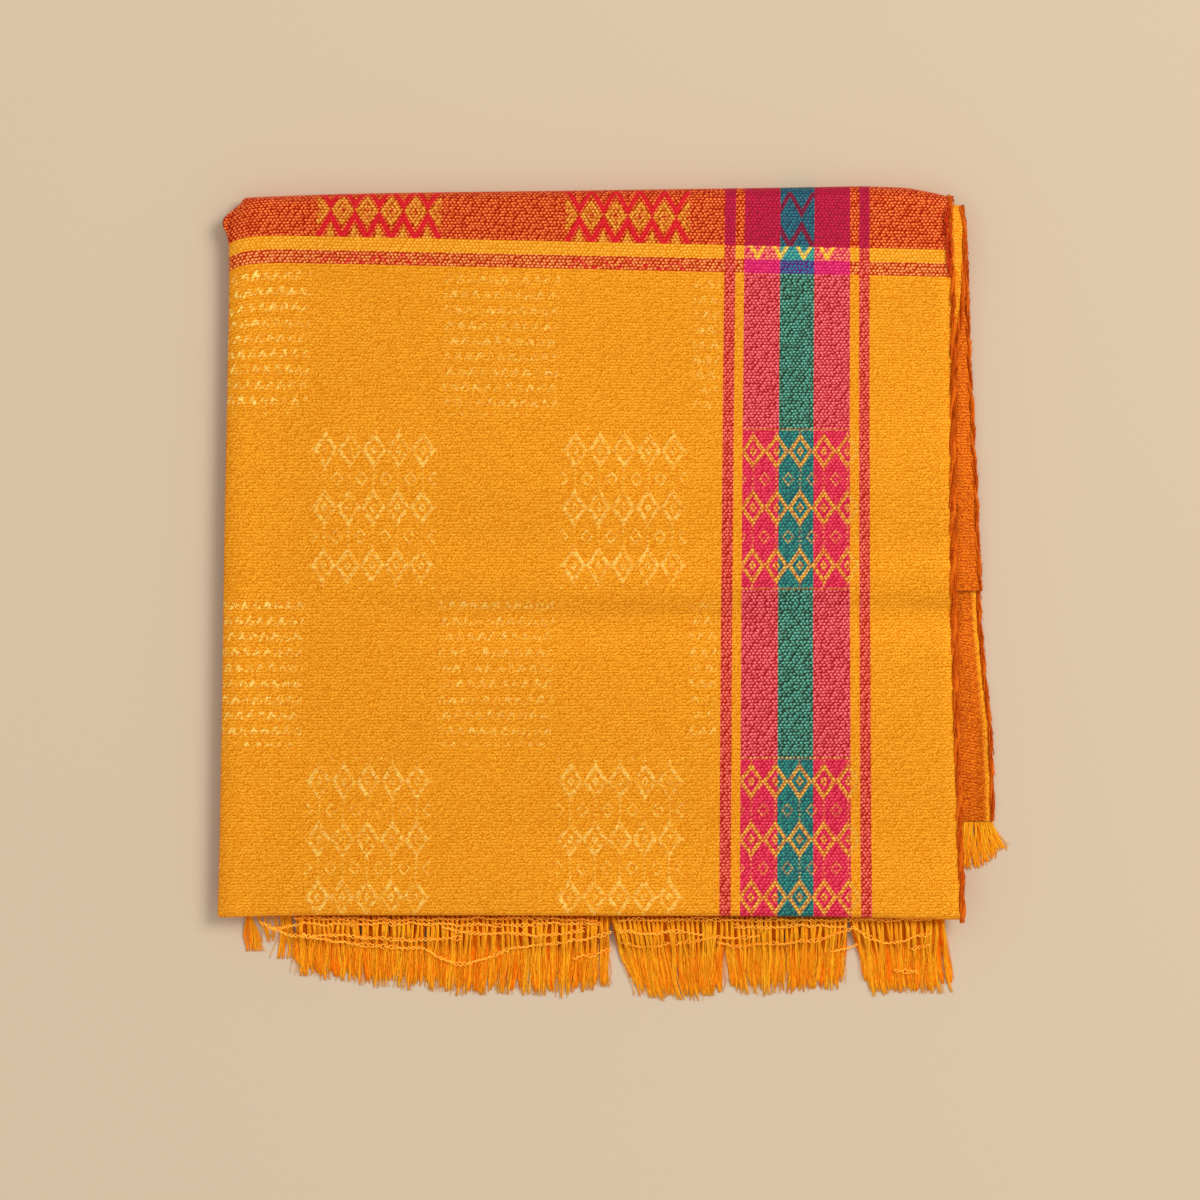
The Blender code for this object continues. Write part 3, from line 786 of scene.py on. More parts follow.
# Threads of weft left across the fringe: each is a list of (x, drop below the bottom fold).
CROSS_THREADS = [
    [(-150.0, 1.4), (-100.0, 1.8), (-60.0, 1.4), (-6.0, 2.0)],
    [(3.0, 2.0), (50.0, 1.6), (112.0, 2.0), (152.0, 1.6)],
    [(-166.0, 3.0), (-158.0, 6.5), (-150.0, 4.5), (-133.0, 4.0), (-100.0, 3.6), (-60.0, 4.4), (-4.0, 3.4)],
    [(-161.0, 6.4), (-150.0, 9.4), (-133.0, 9.3), (-110.0, 10.6), (-86.0, 11.8), (-70.0, 10.5)],
    [(-146.0, 9.0), (-133.0, 12.2), (-110.0, 14.5), (-88.0, 16.9), (-75.0, 22.6)]
    + [(-59.0, 20.4), (-48.0, 16.0), (-22.0, 12.8), (0.5, 7.8)],
    [(-80.0, 6.0), (-60.0, 8.5), (-44.0, 8.0), (-30.0, 9.5), (-12.0, 6.5)],
    [(-18.0, 20.5), (-8.0, 18.8), (0.5, 15.6)],
    [(3.0, 7.0), (14.0, 8.2), (32.0, 7.4), (44.0, 9.2)],
    [(5.0, 13.0), (13.0, 14.4), (23.0, 13.8), (33.0, 12.8), (49.0, 10.6), (71.0, 9.8)],
    [(50.0, 13.0), (60.0, 14.6), (71.0, 13.6), (84.0, 12.6), (96.0, 11.6), (108.0, 8.0), (116.0, 5.4)],
    [(58.0, 4.6), (74.0, 5.6), (96.0, 4.4), (112.0, 5.2)],
    [(104.0, 18.2), (109.0, 16.8), (117.0, 14.2)],
    [(114.0, 6.0), (121.0, 9.6), (127.0, 12.6), (136.0, 12.0), (146.0, 9.4), (152.0, 8.2)],
    [(142.0, 16.4), (147.0, 15.0), (152.0, 13.4)],
    [(134.0, 25.6), (139.0, 26.6), (146.0, 27.4)],
]


def hump(share):
    """How the fringe stands up a little where it leaves the cloth, and then lies down."""
    return np.sin(np.minimum(np.asarray(share) * 2.1, 1.0) * math.pi)


def thread_path(root, tip, rise, sway, steps, draw):
    """A line of threads from its root down to its tip, with a lazy wave."""
    share = np.linspace(0.0, 1.0, steps)
    wave = draw.uniform(0.5, 1.6)
    start = draw.uniform(0.0, 2.0 * math.pi)
    wiggle = sway * (np.sin(start + share * wave * 2.0 * math.pi) - math.sin(start)) * share**0.6
    x = mix(root[0], tip[0], share**1.25) + wiggle
    y = mix(root[1], tip[1], share)
    z = mix(root[2], tip[2], share) + rise * hump(share)
    return np.stack([x, y, z], axis=-1), share


def thread_bundle(bundle, root, tip, strands, rise, draw, tone, width=0.56, flat=0.5, steps=12):
    """Warp threads that leave the cloth together: a full middle, and loose ones that fan out at the tip."""
    middle, share = thread_path(root, tip, rise, draw.uniform(0.3, 1.2), steps, draw)
    own = float(np.clip(tone + draw.normal(0.0, 0.12), 0.0, 1.0))
    slim = width * np.interp(share, BUNDLE_ALONG, BUNDLE_GIRTH)
    middle[:, 2] = np.maximum(middle[:, 2], width * flat + 0.1)
    # The middle tube takes a darker tone than the loose threads: painted shade where it shows between them.
    bundle.tube(middle, slim, 6, own - 0.12, draw.uniform(0, 6), flat=flat)
    for _ in range(strands):
        angle = draw.uniform(-0.2, math.pi + 0.2)
        loose = share**1.5 * draw.normal(0.0, 1.5)
        curl = 0.5 * np.sin(draw.uniform(0, 6) + share * draw.uniform(4.0, 9.0)) * share
        path = middle.copy()
        path[:, 0] += slim * math.cos(angle) + loose + curl
        path[:, 1] = root[1] + (path[:, 1] - root[1]) * (1.0 - 0.22 * draw.uniform(0.0, 1.0) ** 3)
        path[:, 2] = np.maximum(path[:, 2] + 0.6 * slim * math.sin(angle), 0.2)
        radii = THREAD * np.linspace(1.0, 0.5, steps) * draw.uniform(0.75, 1.25)
        shade = float(np.clip(own + draw.normal(0.12, 0.16), 0.0, 1.0))
        bundle.tube(path, radii * 1.15, 3, shade, draw.uniform(0, 6), flat=0.7)


def end_fringe_rows():
    """Roots and tips of the end fringe's bundles, left to right."""
    solid = solids["fringe_end"]
    lean_x = [row[0] for row in FRINGE_LEAN]
    lean = [row[1] for row in FRINGE_LEAN]
    rows = []
    for x in np.arange(FRINGE_START, solid.high[0] - 0.5, BUNDLE_PITCH):
        tip_x = x + float(np.interp(x, lean_x, lean))
        reach = solid.reach(min(max(tip_x, solid.low[0] + 0.5), solid.high[0] - 0.5), FRINGE_FELT_Z, -1)
        rows.append((float(x), tip_x, reach))
    return rows


def end_fringe_front():
    """The upper cloth's threads."""
    draw = np.random.default_rng(21)
    head = solids["fringe_end"].high[1]
    bundle = Bundle()
    for x, tip_x, reach in end_fringe_rows():
        x += draw.normal(0.0, 0.25)
        tip_x += draw.normal(0.0, 1.2)
        reach += draw.normal(0.0, 1.2)
        thread_bundle(bundle, (x, head, FRINGE_FOOT), (tip_x, reach, 0.5), 11, FRINGE_RISE, draw, 0.74)
    return bundle


def end_fringe_back():
    """The lower cloth's threads, in a darker tone that is painted shade under the front threads, and not so
    long.
    """
    draw = np.random.default_rng(22)
    head = solids["fringe_end"].high[1]
    bundle = Bundle()
    for x, tip_x, reach in end_fringe_rows():
        x += draw.normal(0.0, 0.4)
        tip_x += draw.normal(0.3, 1.0)
        reach += abs(draw.normal(0.0, 2.4)) + 1.0
        root, tip = (x, head, 1.0), (tip_x, reach, 0.4)
        # the low tone is painted shade under the front threads
        thread_bundle(bundle, root, tip, 7, 1.6, draw, 0.3, width=1.9, flat=0.25, steps=9)
    return bundle


def loose_corner(bundle):
    """Left of the full fringe: a tassel with a narrow neck, a see-through stretch, and a small tassel."""
    draw = np.random.default_rng(23)
    solid = solids["fringe_end"]
    head = solid.high[1]
    low = solid.reach(solid.low[0] + 3.0, FRINGE_FELT_Z, -1)
    for x, tip_x in TASSEL:
        thread_bundle(bundle, (x, head, 1.0), (tip_x, low + 0.4, 0.3), 12, 0.8, draw, 0.6)
    for x, tip_x in SMALL_TASSEL:
        thread_bundle(bundle, (x, head, 1.0), (tip_x, low - 3.2, 0.3), 8, 0.7, draw, 0.6)
    for x in np.arange(*BETWEEN_TASSELS):
        tip = (x + draw.uniform(1.0, 6.0), head - draw.uniform(12.0, 24.0), 0.3)
        thread_bundle(bundle, (x, head, 0.9), tip, 3, 0.5, draw, 0.75, width=0.2)


def cross_threads(bundle):
    """The last wefts, hanging loosely across the fringe from bundle to bundle."""
    draw = np.random.default_rng(24)
    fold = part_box("top_panel")[0].y / MM + WALL
    for route in CROSS_THREADS:
        at = np.arange(route[0][0], route[-1][0], CROSS_STEP)
        drop = curve(route, at)
        for strand in range(2):
            beat = 2.0 * math.pi * at / (2.0 * BUNDLE_PITCH) + strand * 2.2
            wander = Ripples(4.5, 50.0, seed=60 + strand)
            y = fold - drop + 0.5 * np.sin(beat * 2.0) + 1.1 * wander(at, drop * 9.0)
            share = (drop + FRINGE_HEAD) / FRINGE_REACH
            z = FRINGE_FOOT + FRINGE_RISE * hump(share) + 0.75 + 0.35 * np.cos(beat)
            path = np.stack([at, y, z], axis=-1)
            bundle.tube(path, CROSS_THREAD, 4, draw.uniform(0.6, 1.1), flat=0.5)


INNER_ROOT_STEP = 1.3
INNER_SPREAD = 5.2  # how far the corner's threads fan out past the selvedge
INNER_FAN = 34.0  # they are close together over this width


def inner_fringe(material):
    """The tucked-in end's threads: thin under the packet, and fanned out past its corner."""
    draw = np.random.default_rng(31)
    solid = solids["fringe_inner_end"]
    head = solid.high[1]
    bundle = Bundle()
    corner = solid.high[0] - INNER_SPREAD
    for x in np.arange(solid.low[0] + 2.0, corner - INNER_FAN, BUNDLE_PITCH * 2.0):
        thread_bundle(bundle, (x, head, 3.0), (x, solid.low[1] + 2.0, 2.4), 2, 0.1, draw, 0.5, steps=7)
    for x in np.arange(corner - INNER_FAN, corner + 0.8, INNER_ROOT_STEP):
        share = float(smoothstep((x - corner + 16.0) / 16.0))
        tip = (x + mix(-0.6, INNER_SPREAD, share), mix(solid.low[1], solid.low[1] + 9.0, share**3))
        fall = float(overhang(x))
        root = (x, head, level_z(1) - fall)
        for height in (0.35, -0.25):
            spot = (tip[0], tip[1] + draw.normal(0.0, 0.8), max(level_z(1) - 1.4 - fall, 0.3))
            # the lower layer takes a darker tone: painted shade under the upper layer
            thread_bundle(bundle, (x, head, root[2] + height), spot, 7, 0.4, draw, 0.6 + height * 0.4)
    return bundle.piece("fringe_tucked", material, "fringe")


def build_fringes(material, wefts):
    front = end_fringe_front()
    loose_corner(front)
    cross = Bundle()
    cross_threads(cross)
    pieces = [
        front.piece("fringe_front", material, "fringe"),
        end_fringe_back().piece("fringe_back", material, "fringe"),
        cross.piece("fringe_cross_threads", wefts, "fringe"),
    ]
    tucked = inner_fringe(material)
    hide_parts("fringe_end")
    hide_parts("fringe_inner_end")
    return pieces, tucked


# ---- materials ----


def rgb(red, green, blue):
    """A linear colour from its display values, 0 to 255."""
    shares = np.array((red, green, blue)) / 255.0
    linear = np.where(shares <= 0.04045, shares / 12.92, ((shares + 0.055) / 1.055) ** 2.4)
    return (*(float(value) for value in linear), 1.0)


class Value:
    """A number that varies over a surface, with plain arithmetic on it."""

    def __init__(self, tree, socket):
        self.tree = tree
        self.socket = socket

    def math(self, operation, *others):
        node = self.tree.nodes.new("ShaderNodeMath")
        node.operation = operation
        for slot, item in zip(node.inputs, (self, *others)):
            if isinstance(item, Value):
                self.tree.links.new(item.socket, slot)
            else:
                slot.default_value = item
        return Value(self.tree, node.outputs[0])

    def __add__(self, other):
        return self.math("ADD", other)

    def __sub__(self, other):
        return self.math("SUBTRACT", other)

    def __mul__(self, other):
        return self.math("MULTIPLY", other)

    def __truediv__(self, other):
        return self.math("DIVIDE", other)

    def ramp(self, low, high):
        """0 where this is at low, 1 where it is at high, and a straight line between."""
        node = self.tree.nodes.new("ShaderNodeMapRange")
        node.inputs["From Min"].default_value = low
        node.inputs["From Max"].default_value = high
        self.tree.links.new(self.socket, node.inputs["Value"])
        return Value(self.tree, node.outputs["Result"])

    def near(self, centre, half, soft=0.25):
        """1 within half of centre, with soft edges."""
        return (self - centre).math("ABSOLUTE").ramp(half + soft / 2, half - soft / 2)

    def between(self, low, high, soft=0.25):
        return self.near((low + high) / 2, (high - low) / 2, soft)

    def folded(self, centre, pitch):
        """Distance to the nearest of the marks that lie a pitch apart, one of them at centre."""
        wrapped = (self - (centre - pitch / 2)).math("FLOORED_MODULO", pitch)
        return (wrapped - pitch / 2).math("ABSOLUTE")


class Shader:
    """A material whose pattern is arithmetic."""

    def __init__(self, name, settings):
        self.material = bpy.data.materials.new(name)
        self.material.use_nodes = True
        self.tree = self.material.node_tree
        self.surface = self.tree.nodes["Principled BSDF"]
        for socket, value in settings.items():
            self.surface.inputs[socket].default_value = value

    def attribute(self, name):
        """The three numbers of a per-point attribute."""
        node = self.tree.nodes.new("ShaderNodeAttribute")
        node.attribute_name = name
        parts = self.tree.nodes.new("ShaderNodeSeparateXYZ")
        self.tree.links.new(node.outputs["Vector"], parts.inputs[0])
        return [Value(self.tree, socket) for socket in parts.outputs]

    def vector(self, *parts):
        node = self.tree.nodes.new("ShaderNodeCombineXYZ")
        for slot, part in zip(node.inputs, parts):
            self.tree.links.new(part.socket, slot)
        return node.outputs[0]

    def chance(self, *parts):
        """A random number for each whole-numbered cell."""
        node = self.tree.nodes.new("ShaderNodeTexWhiteNoise")
        self.tree.links.new(self.vector(*parts), node.inputs["Vector"])
        return Value(self.tree, node.outputs["Value"])

    def noise(self, scale, detail, *parts):
        node = self.tree.nodes.new("ShaderNodeTexNoise")
        node.inputs["Scale"].default_value = scale
        node.inputs["Detail"].default_value = detail
        self.tree.links.new(self.vector(*parts), node.inputs["Vector"])
        return Value(self.tree, node.outputs["Fac"])

    def blend(self, share, low, high):
        """A colour between two, each a colour tuple or a socket."""
        node = self.tree.nodes.new("ShaderNodeMix")
        node.data_type = "RGBA"
        self.tree.links.new(share.socket, node.inputs["Factor"])
        for slot, colour in ((node.inputs[6], low), (node.inputs[7], high)):
            if isinstance(colour, tuple):
                slot.default_value = colour
            else:
                self.tree.links.new(colour, slot)
        return node.outputs[2]

    def brighten(self, colour, factor):
        """A colour times a number."""
        node = self.tree.nodes.new("ShaderNodeVectorMath")
        node.operation = "SCALE"
        self.tree.links.new(colour, node.inputs[0])
        self.tree.links.new(factor.socket, node.inputs["Scale"])
        return node.outputs[0]

    def bump(self, height, distance, strength=1.0):
        node = self.tree.nodes.new("ShaderNodeBump")
        node.inputs["Distance"].default_value = distance
        node.inputs["Strength"].default_value = strength
        self.tree.links.new(height.socket, node.inputs["Height"])
        self.tree.links.new(node.outputs["Normal"], self.surface.inputs["Normal"])

    def colour(self, socket):
        self.tree.links.new(socket, self.surface.inputs["Base Color"])


# The weave: floats of weft lie in a brick pattern.
FLOAT_PITCH = 1.82
FLOAT_ROW = 1.4

# The border's stripes, from its outer edge towards the lengthwise fold.
OUTER_THIN = (0.0, 4.9)
OUTER_WIDE = (9.2, 26.1)
TEAL = (26.1, 42.2)
INNER_WIDE = (42.2, 59.1)
INNER_THIN = (63.3, 68.5)

# The bands across, from the golden stripe's upper edge; the pallu is everything before it.
GOLDEN_STRIPE = (0.0, 6.4)
RED_STRIPE = (6.4, 12.8)

# The figured patches.
REPEAT = 156.2  # length of one repeat along the cloth
GROUP_AT = 128.0  # along: middle of a group of diamonds
GROUP_HALF = 38.2
DIAMOND_ROW = 27.3
PATCH_REPEAT = 117.3  # across: from one patch to the next
PATCH_AT = 114.4
PATCH_HALF = 29.3
PATCH_PITCH = 11.45
DASH_PITCH = 5.1
DASH_ROW = 7.4
BORDER_PITCH = 10.97
BORDER_AT = 32.2
VEE_AT = 31.0  # across: one of the yellow marks where the border crosses the golden stripe
DIAMOND = (5.6, 8.5)  # from a figured diamond's middle to its corners, across and along
FIRST_GROUP = 20.0  # along: no group of diamonds lies before this
FIRST_PATCH = 76.0  # across: and no patch before this
LATTICE_FROM = -26.0  # along: where the lattice in the pallu begins
LATTICE_SLOPE = -10.4 / 5.72
LATTICE_DROP = 25.4  # between its two sets of slants
PALLU_DIAMOND_AT = -12.6  # along: the middles of the pallu's diamonds
DASH_HALF = 27.0  # half the width of a patch of dashes, and half its length
DASH_GROUP_HALF = 34.0
FIRST_DASH = 70.0  # across: no dash lies before this
SHEEN_UP = (262.0, 292.0)  # across: a painted sheen brightens the cloth where it nears the lengthwise fold, rising between these
SHEEN_DOWN = (318.0, 296.0)

Weft = namedtuple("Weft", "dark light")
GOLD = Weft(rgb(208, 112, 0), rgb(255, 174, 44))
# A darker copy of the gold ground: painted shade for the panels that show lower down beside the top panel's
# selvedge.
PAINTED_SHADE_GOLD = Weft(rgb(154, 46, 0), rgb(222, 112, 14))
PALLU_RED = Weft(rgb(160, 4, 0), rgb(255, 124, 58))
STRIPE_GOLD = Weft(rgb(222, 134, 14), rgb(255, 180, 60))
STRIPE_RED = Weft(rgb(176, 24, 0), rgb(255, 160, 84))
THIN_PINK = Weft(rgb(170, 12, 16), rgb(255, 116, 98))
WIDE_PINK = Weft(rgb(168, 2, 30), rgb(255, 112, 124))
BRIGHT_PINK = Weft(rgb(188, 6, 56), rgb(244, 66, 98))
TEAL_GREEN = Weft(rgb(0, 54, 42), rgb(88, 176, 156))
BRIGHT_TEAL = Weft(rgb(0, 76, 88), rgb(30, 150, 126))
MAGENTA = Weft(rgb(152, 0, 48), rgb(200, 8, 72))
DEEP_TEAL = Weft(rgb(0, 62, 84), rgb(14, 118, 134))
TEAL_LATTICE = Weft(rgb(96, 6, 50), rgb(140, 26, 66))
CROSSING_PINK = Weft(rgb(200, 16, 80), rgb(255, 148, 96))
CROSSING_TEAL = Weft(rgb(0, 108, 132), rgb(70, 178, 130))
CROSSING_MAGENTA = Weft(rgb(190, 0, 92), rgb(238, 50, 108))
CROSSING_BLUE = Weft(rgb(70, 20, 110), rgb(0, 120, 150))
FIGURE_GOLD = Weft(rgb(196, 108, 18), rgb(248, 190, 72))
FIGURE_CRIMSON = Weft(rgb(198, 6, 30), rgb(226, 22, 52))
# a painted glint: the pale colour the figured floats take where they would catch the light
PAINTED_GLINT = rgb(255, 216, 112)
SHEEN = rgb(255, 190, 90)
VEE_YELLOW = Weft(rgb(236, 178, 20), rgb(255, 214, 70))


def zones_of(u, v):
    """Where each part of the design lies: every zone is 1 inside and 0 outside."""
    zones = SimpleNamespace()
    zones.field = v.math("GREATER_THAN", RED_STRIPE[1] + 1.0)
    zones.group_v = v.folded(GROUP_AT, REPEAT)  # a distance: from the middle of a group of diamonds
    zones.group = zones.group_v.ramp(GROUP_HALF + 0.4, GROUP_HALF - 0.4) * v.math("GREATER_THAN", FIRST_GROUP)
    zones.pallu = v.ramp(0.12, -0.12)
    zones.stripe = v.between(*GOLDEN_STRIPE)
    zones.red_stripe = v.between(*RED_STRIPE)
    zones.thin = u.between(*OUTER_THIN) + u.between(*INNER_THIN)
    zones.wide = u.between(*OUTER_WIDE) + u.between(*INNER_WIDE)
    zones.teal = u.between(*TEAL)
    zones.patch = u.folded(PATCH_AT, PATCH_REPEAT).ramp(PATCH_HALF + 0.3, PATCH_HALF - 0.3)
    zones.patch = zones.patch * u.math("GREATER_THAN", FIRST_PATCH)
    bands = zones.pallu + zones.stripe + zones.red_stripe + zones.thin + zones.wide + zones.teal
    zones.dyed = bands.math("MINIMUM", 1.0)
    return zones


def brick(shader, weave, dyed):
    """The floats of weft in a brick pattern, never quite even: long and loose in the golden ground,
    short and crisp in the dyed yarns. Gives how full the float is at each spot, a chance for each
    float, and the waver of its rows.
    """
    u, v, side = weave
    waver = shader.noise(1.0, 2.0, u * 0.7, v * 0.7, side) - 0.5
    row_at = v / FLOAT_ROW + waver * (dyed * -0.5 + 1.0)
    row = row_at.math("FLOOR")
    column = u / FLOAT_PITCH + row.math("FLOORED_MODULO", 2.0) * 0.5 + waver * (dyed * -1.5 + 2.2)
    chance = shader.chance(column.math("FLOOR"), row, side.math("GREATER_THAN", 0.0))
    cell_u = column.math("FRACT") + chance * 0.36 - 0.68
    cell_v = row_at.math("FRACT") - chance * 0.3 - 0.35
    radius = (cell_u * cell_u * (dyed * 2.4 + 2.4) + cell_v * cell_v * 4.0).math("SQRT")
    return radius.ramp(1.05, 0.36), chance, waver


def figure(across, along):
    """Figured diamonds, from distances to the nearest centre; and the beads and small diamonds between."""
    far = across / DIAMOND[0] + along / DIAMOND[1]
    outline = far.near(0.85, 0.19, 0.1)
    eye = far.near(0.2, 0.1, 0.1)
    beads = (along / 2.1).math("FRACT").near(0.5, 0.25, 0.1)
    string = across.ramp(0.75, 0.35) * along.ramp(8.2, 8.6) * beads
    small = (across - 5.5).math("ABSOLUTE") / 2.7 + (along - DIAMOND_ROW / 2).math("ABSOLUTE") / 3.4
    little = small.near(0.85, 0.2, 0.1)
    return outline.math("MAXIMUM", eye), string.math("MAXIMUM", little)


def zigzag(across, v):
    """The lattice round the pallu's diamonds, from the distance to a diamond's middle."""
    slant = across * LATTICE_SLOPE
    upright = (v - slant).near(0.0, 2.3, 0.5)
    inverted = (v + slant + LATTICE_DROP).near(0.0, 2.0, 0.5)
    return upright.math("MAXIMUM", inverted)


def band_layers(zones):
    """The dyed yarns of the border and the bands, and what they make where they cross."""
    wide, teal, pallu = zones.wide, zones.teal, zones.pallu
    return [
        (pallu, PALLU_RED),
        (zones.stripe, STRIPE_GOLD),
        (zones.red_stripe, STRIPE_RED),
        (zones.thin, THIN_PINK),
        (wide, WIDE_PINK),
        (wide * zones.group, BRIGHT_PINK),
        (teal, TEAL_GREEN),
        (teal * zones.group, BRIGHT_TEAL),
        ((wide + zones.thin) * pallu, MAGENTA),
        (teal * pallu, DEEP_TEAL),
        (wide * zones.stripe, CROSSING_PINK),
        (teal * zones.stripe, CROSSING_TEAL),
        (wide * zones.red_stripe, CROSSING_MAGENTA),
        (teal * zones.red_stripe, CROSSING_BLUE),
    ]


def figure_layers(u, v, zones, floats, chance):
    """The figures woven in the border, the pallu and its stripes; and the distances the patches share."""
    pallu, patch = zones.pallu, zones.patch
    row_v = v.folded(GROUP_AT, REPEAT).folded(0.0, DIAMOND_ROW)
    patch_across = u.folded(PATCH_AT, PATCH_REPEAT).folded(0.0, PATCH_PITCH)
    beaded = floats * 0.5 + chance * 0.3 + 0.42

    # The border's diamonds, between rows of dots.
    diamonds, small = figure(u.folded(BORDER_AT, BORDER_PITCH), row_v)
    dots = zones.group_v.near(GROUP_HALF, 0.6, 0.3) * u.folded(0.0, FLOAT_PITCH).ramp(0.75, 0.4) * zones.field
    border = (diamonds + small * 0.5) * zones.group + dots * 0.6
    border = (border * beaded * u.between(OUTER_THIN[1], INNER_WIDE[1])).math("MINIMUM", 1.0)

    # The pallu's patches: golden diamonds and pyramids in a crimson lattice, with fragments below.
    across = (patch_across - PATCH_PITCH / 2).math("ABSOLUTE")
    begun = v.math("GREATER_THAN", LATTICE_FROM)
    crimson = zigzag(across, v) * pallu * patch * begun
    fragments = (v - patch_across * 1.1 - RED_STRIPE[0] - 1.4).near(0.0, 1.1, 0.5) * zones.red_stripe * patch
    crimson = crimson.math("MAXIMUM", fragments * chance)
    far = across / DIAMOND[0] + (v - PALLU_DIAMOND_AT).math("ABSOLUTE") / 8.0
    golden = far.near(0.74, 0.16, 0.1).math("MAXIMUM", far.near(0.34, 0.1, 0.1)) * pallu * patch
    pyramid = ((across - 5.72) * -1.0 / 2.2 + (v * -1.0) / 6.4).ramp(1.05, 0.9) * pallu * patch

    # Where the border crosses: a lattice on the teal, and yellow marks on the golden stripe.
    lattice = zigzag(u.folded(BORDER_AT + BORDER_PITCH / 2, BORDER_PITCH), v) * pallu * zones.teal * begun
    vee = (v + u.folded(VEE_AT, BORDER_PITCH) * 1.7 - 5.2).near(0.0, 1.8, 0.5)
    vees = vee * zones.stripe * u.between(15.0, INNER_WIDE[1]) * beaded
    return [
        (border.math("MAXIMUM", golden.math("MAXIMUM", pyramid) * 0.8), FIGURE_GOLD),
        (crimson, FIGURE_CRIMSON),
        (lattice, TEAL_LATTICE),
        (vees, VEE_YELLOW),
    ], row_v, patch_across


def gold_on_gold(u, v, zones, waver, row_v, patch_across):
    """The figured floats in the diamond patches, and in rows of short dashes between them, where a painted
    glint goes.
    """
    diamonds, small = figure(patch_across, row_v)
    dash_at = v / DASH_ROW + waver * 0.7
    dash_u = (u / DASH_PITCH + dash_at.math("FLOOR") * 0.37 + waver * 0.9).math("FRACT") - 0.5
    dash_v = dash_at.math("FRACT") - 0.5
    slant = dash_u.math("ABSOLUTE") - dash_v * 0.62 - 0.15
    dash = slant.near(0.0, 0.1, 0.08) * dash_v.math("ABSOLUTE").ramp(0.27, 0.21)
    dash_patch = u.folded(PATCH_AT + PATCH_REPEAT / 2, PATCH_REPEAT).ramp(DASH_HALF + 0.5, DASH_HALF - 0.5)
    dash_patch = dash_patch * u.ramp(FIRST_DASH, FIRST_DASH + 1.0)
    dash_group = v.folded(GROUP_AT - REPEAT / 2, REPEAT)
    dash_group = dash_group.ramp(DASH_GROUP_HALF + 0.5, DASH_GROUP_HALF - 0.5)
    golden = (diamonds + small * 0.8) * zones.patch * zones.group + dash * dash_patch * dash_group
    return golden * zones.field


def cloth_material(name, ground=GOLD, warp_streaks_and_crease_shade=0.05, rim=0.0):
    """The jacquard, charted in the cloth's coordinates, on the ground given; a darker ground is painted
    shade. A golden edge, rim wide, keeps the gold ground at the selvedge, where no shade is painted.
    """
    shader = Shader(name, {"Roughness": 0.43, "Metallic": 0.28, "Specular Tint": SHEEN})
    weave = u, v, side = shader.attribute("weave")
    zones = zones_of(u, v)
    dyed = zones.dyed
    floats, chance, waver = brick(shader, weave, dyed)
    figures, row_v, patch_across = figure_layers(u, v, zones, floats, chance)
    edge = u.ramp(rim - BORDER_INSET, rim - BORDER_INSET - 2.0)
    dark, light = ground
    for mask, weft in [*band_layers(zones), *figures, (edge, GOLD)]:
        dark = shader.blend(mask, dark, weft.dark)
        light = shader.blend(mask, light, weft.light)

    # How far each spot is from its yarn's dark tone to its light one.
    grain = shader.noise(1.0, 2.0, u * 1.15, v * 1.5, side)
    fullness = floats * (chance * 0.7 + 0.55) * (dyed * 0.6 + 0.65) + dyed * -0.26 + 0.15
    share = (fullness + (grain - 0.5) * (dyed * -1.6 + 2.4)).math("MINIMUM", 1.0).math("MAXIMUM", 0.0)
    colour = shader.blend(share, dark, light)

    # The figured floats are a woven pattern. The pale colour they take is a painted glint, in broken
    # stretches and strongest near the lengthwise fold.
    figured = gold_on_gold(u, v, zones, waver, row_v, patch_across)
    bits = shader.chance((u * 0.8).math("FLOOR"), (v * 0.9).math("FLOOR"), side).ramp(0.2, 0.75)
    stretches = shader.noise(1.0, 1.0, u * 0.16, v * 0.16, side).ramp(0.3, 0.55)
    broken = figured * bits * (stretches * 0.8 + 0.2) * (floats * 0.5 + 0.5)
    # A painted highlight: the floats glint more, and the ground is a little lighter, towards the lengthwise
    # fold.
    painted_sheen = u.ramp(*SHEEN_UP) * u.ramp(*SHEEN_DOWN)
    colour = shader.blend((broken * (painted_sheen + 0.85)).math("MINIMUM", 1.0), colour, PAINTED_GLINT)

    # Streaks of uneven weft and warp, and broad clouds. In the under-panels' cloth the warp streaks are made
    # strong: there they are painted shade along lengthwise creases.
    streaks = shader.noise(1.0, 2.0, u * 0.05, v * 0.9, side)
    clouds = shader.noise(1.0, 3.0, u * 0.03, v * 0.03, side)
    warps = shader.noise(1.0, 2.0, u * 0.9, v * 0.03, side)
    level = streaks * 0.12 + clouds * 0.1 + (warps - 0.5) * warp_streaks_and_crease_shade + grain * 0.3 + painted_sheen * 0.07 + 0.89
    shader.colour(shader.brighten(colour, level))
    shader.bump(floats * (dyed * 0.4 + 0.35) + figured * 0.5 + grain * (dyed * -0.4 + 0.7), 0.00016, 0.8)
    return shader.material


def yarn_material(name, dark, light, strands, painted_brightness=0.85):
    """Spun yarn: fine fibres that lie at a slant along it, in the tone each strand was given."""
    shader = Shader(name, {"Roughness": 0.6, "Specular IOR Level": 0.2, "Specular Tint": SHEEN})
    given, run, around = shader.attribute("strand")
    fibres = shader.noise(1.0, 2.0, run * 0.35, (around + run * 0.11).math("FRACT") * strands, given * 40.0)
    along = shader.noise(1.0, 2.0, run * 0.12, given * 60.0, given * 11.0)
    share = given * 0.75 + fibres * 0.9 + along * 0.35 - 0.5
    colour = shader.blend(share.ramp(0.0, 1.0), dark, light)
    # The yarn's colour is scaled as a whole. Above 1, as for the loose wefts, this is painted sheen that
    # brightens threads against their own shading.
    shader.colour(shader.brighten(colour, fibres * 0.3 + painted_brightness))
    shader.bump(fibres, 0.00012, 0.7)
    return shader.material


# ---- the room ----

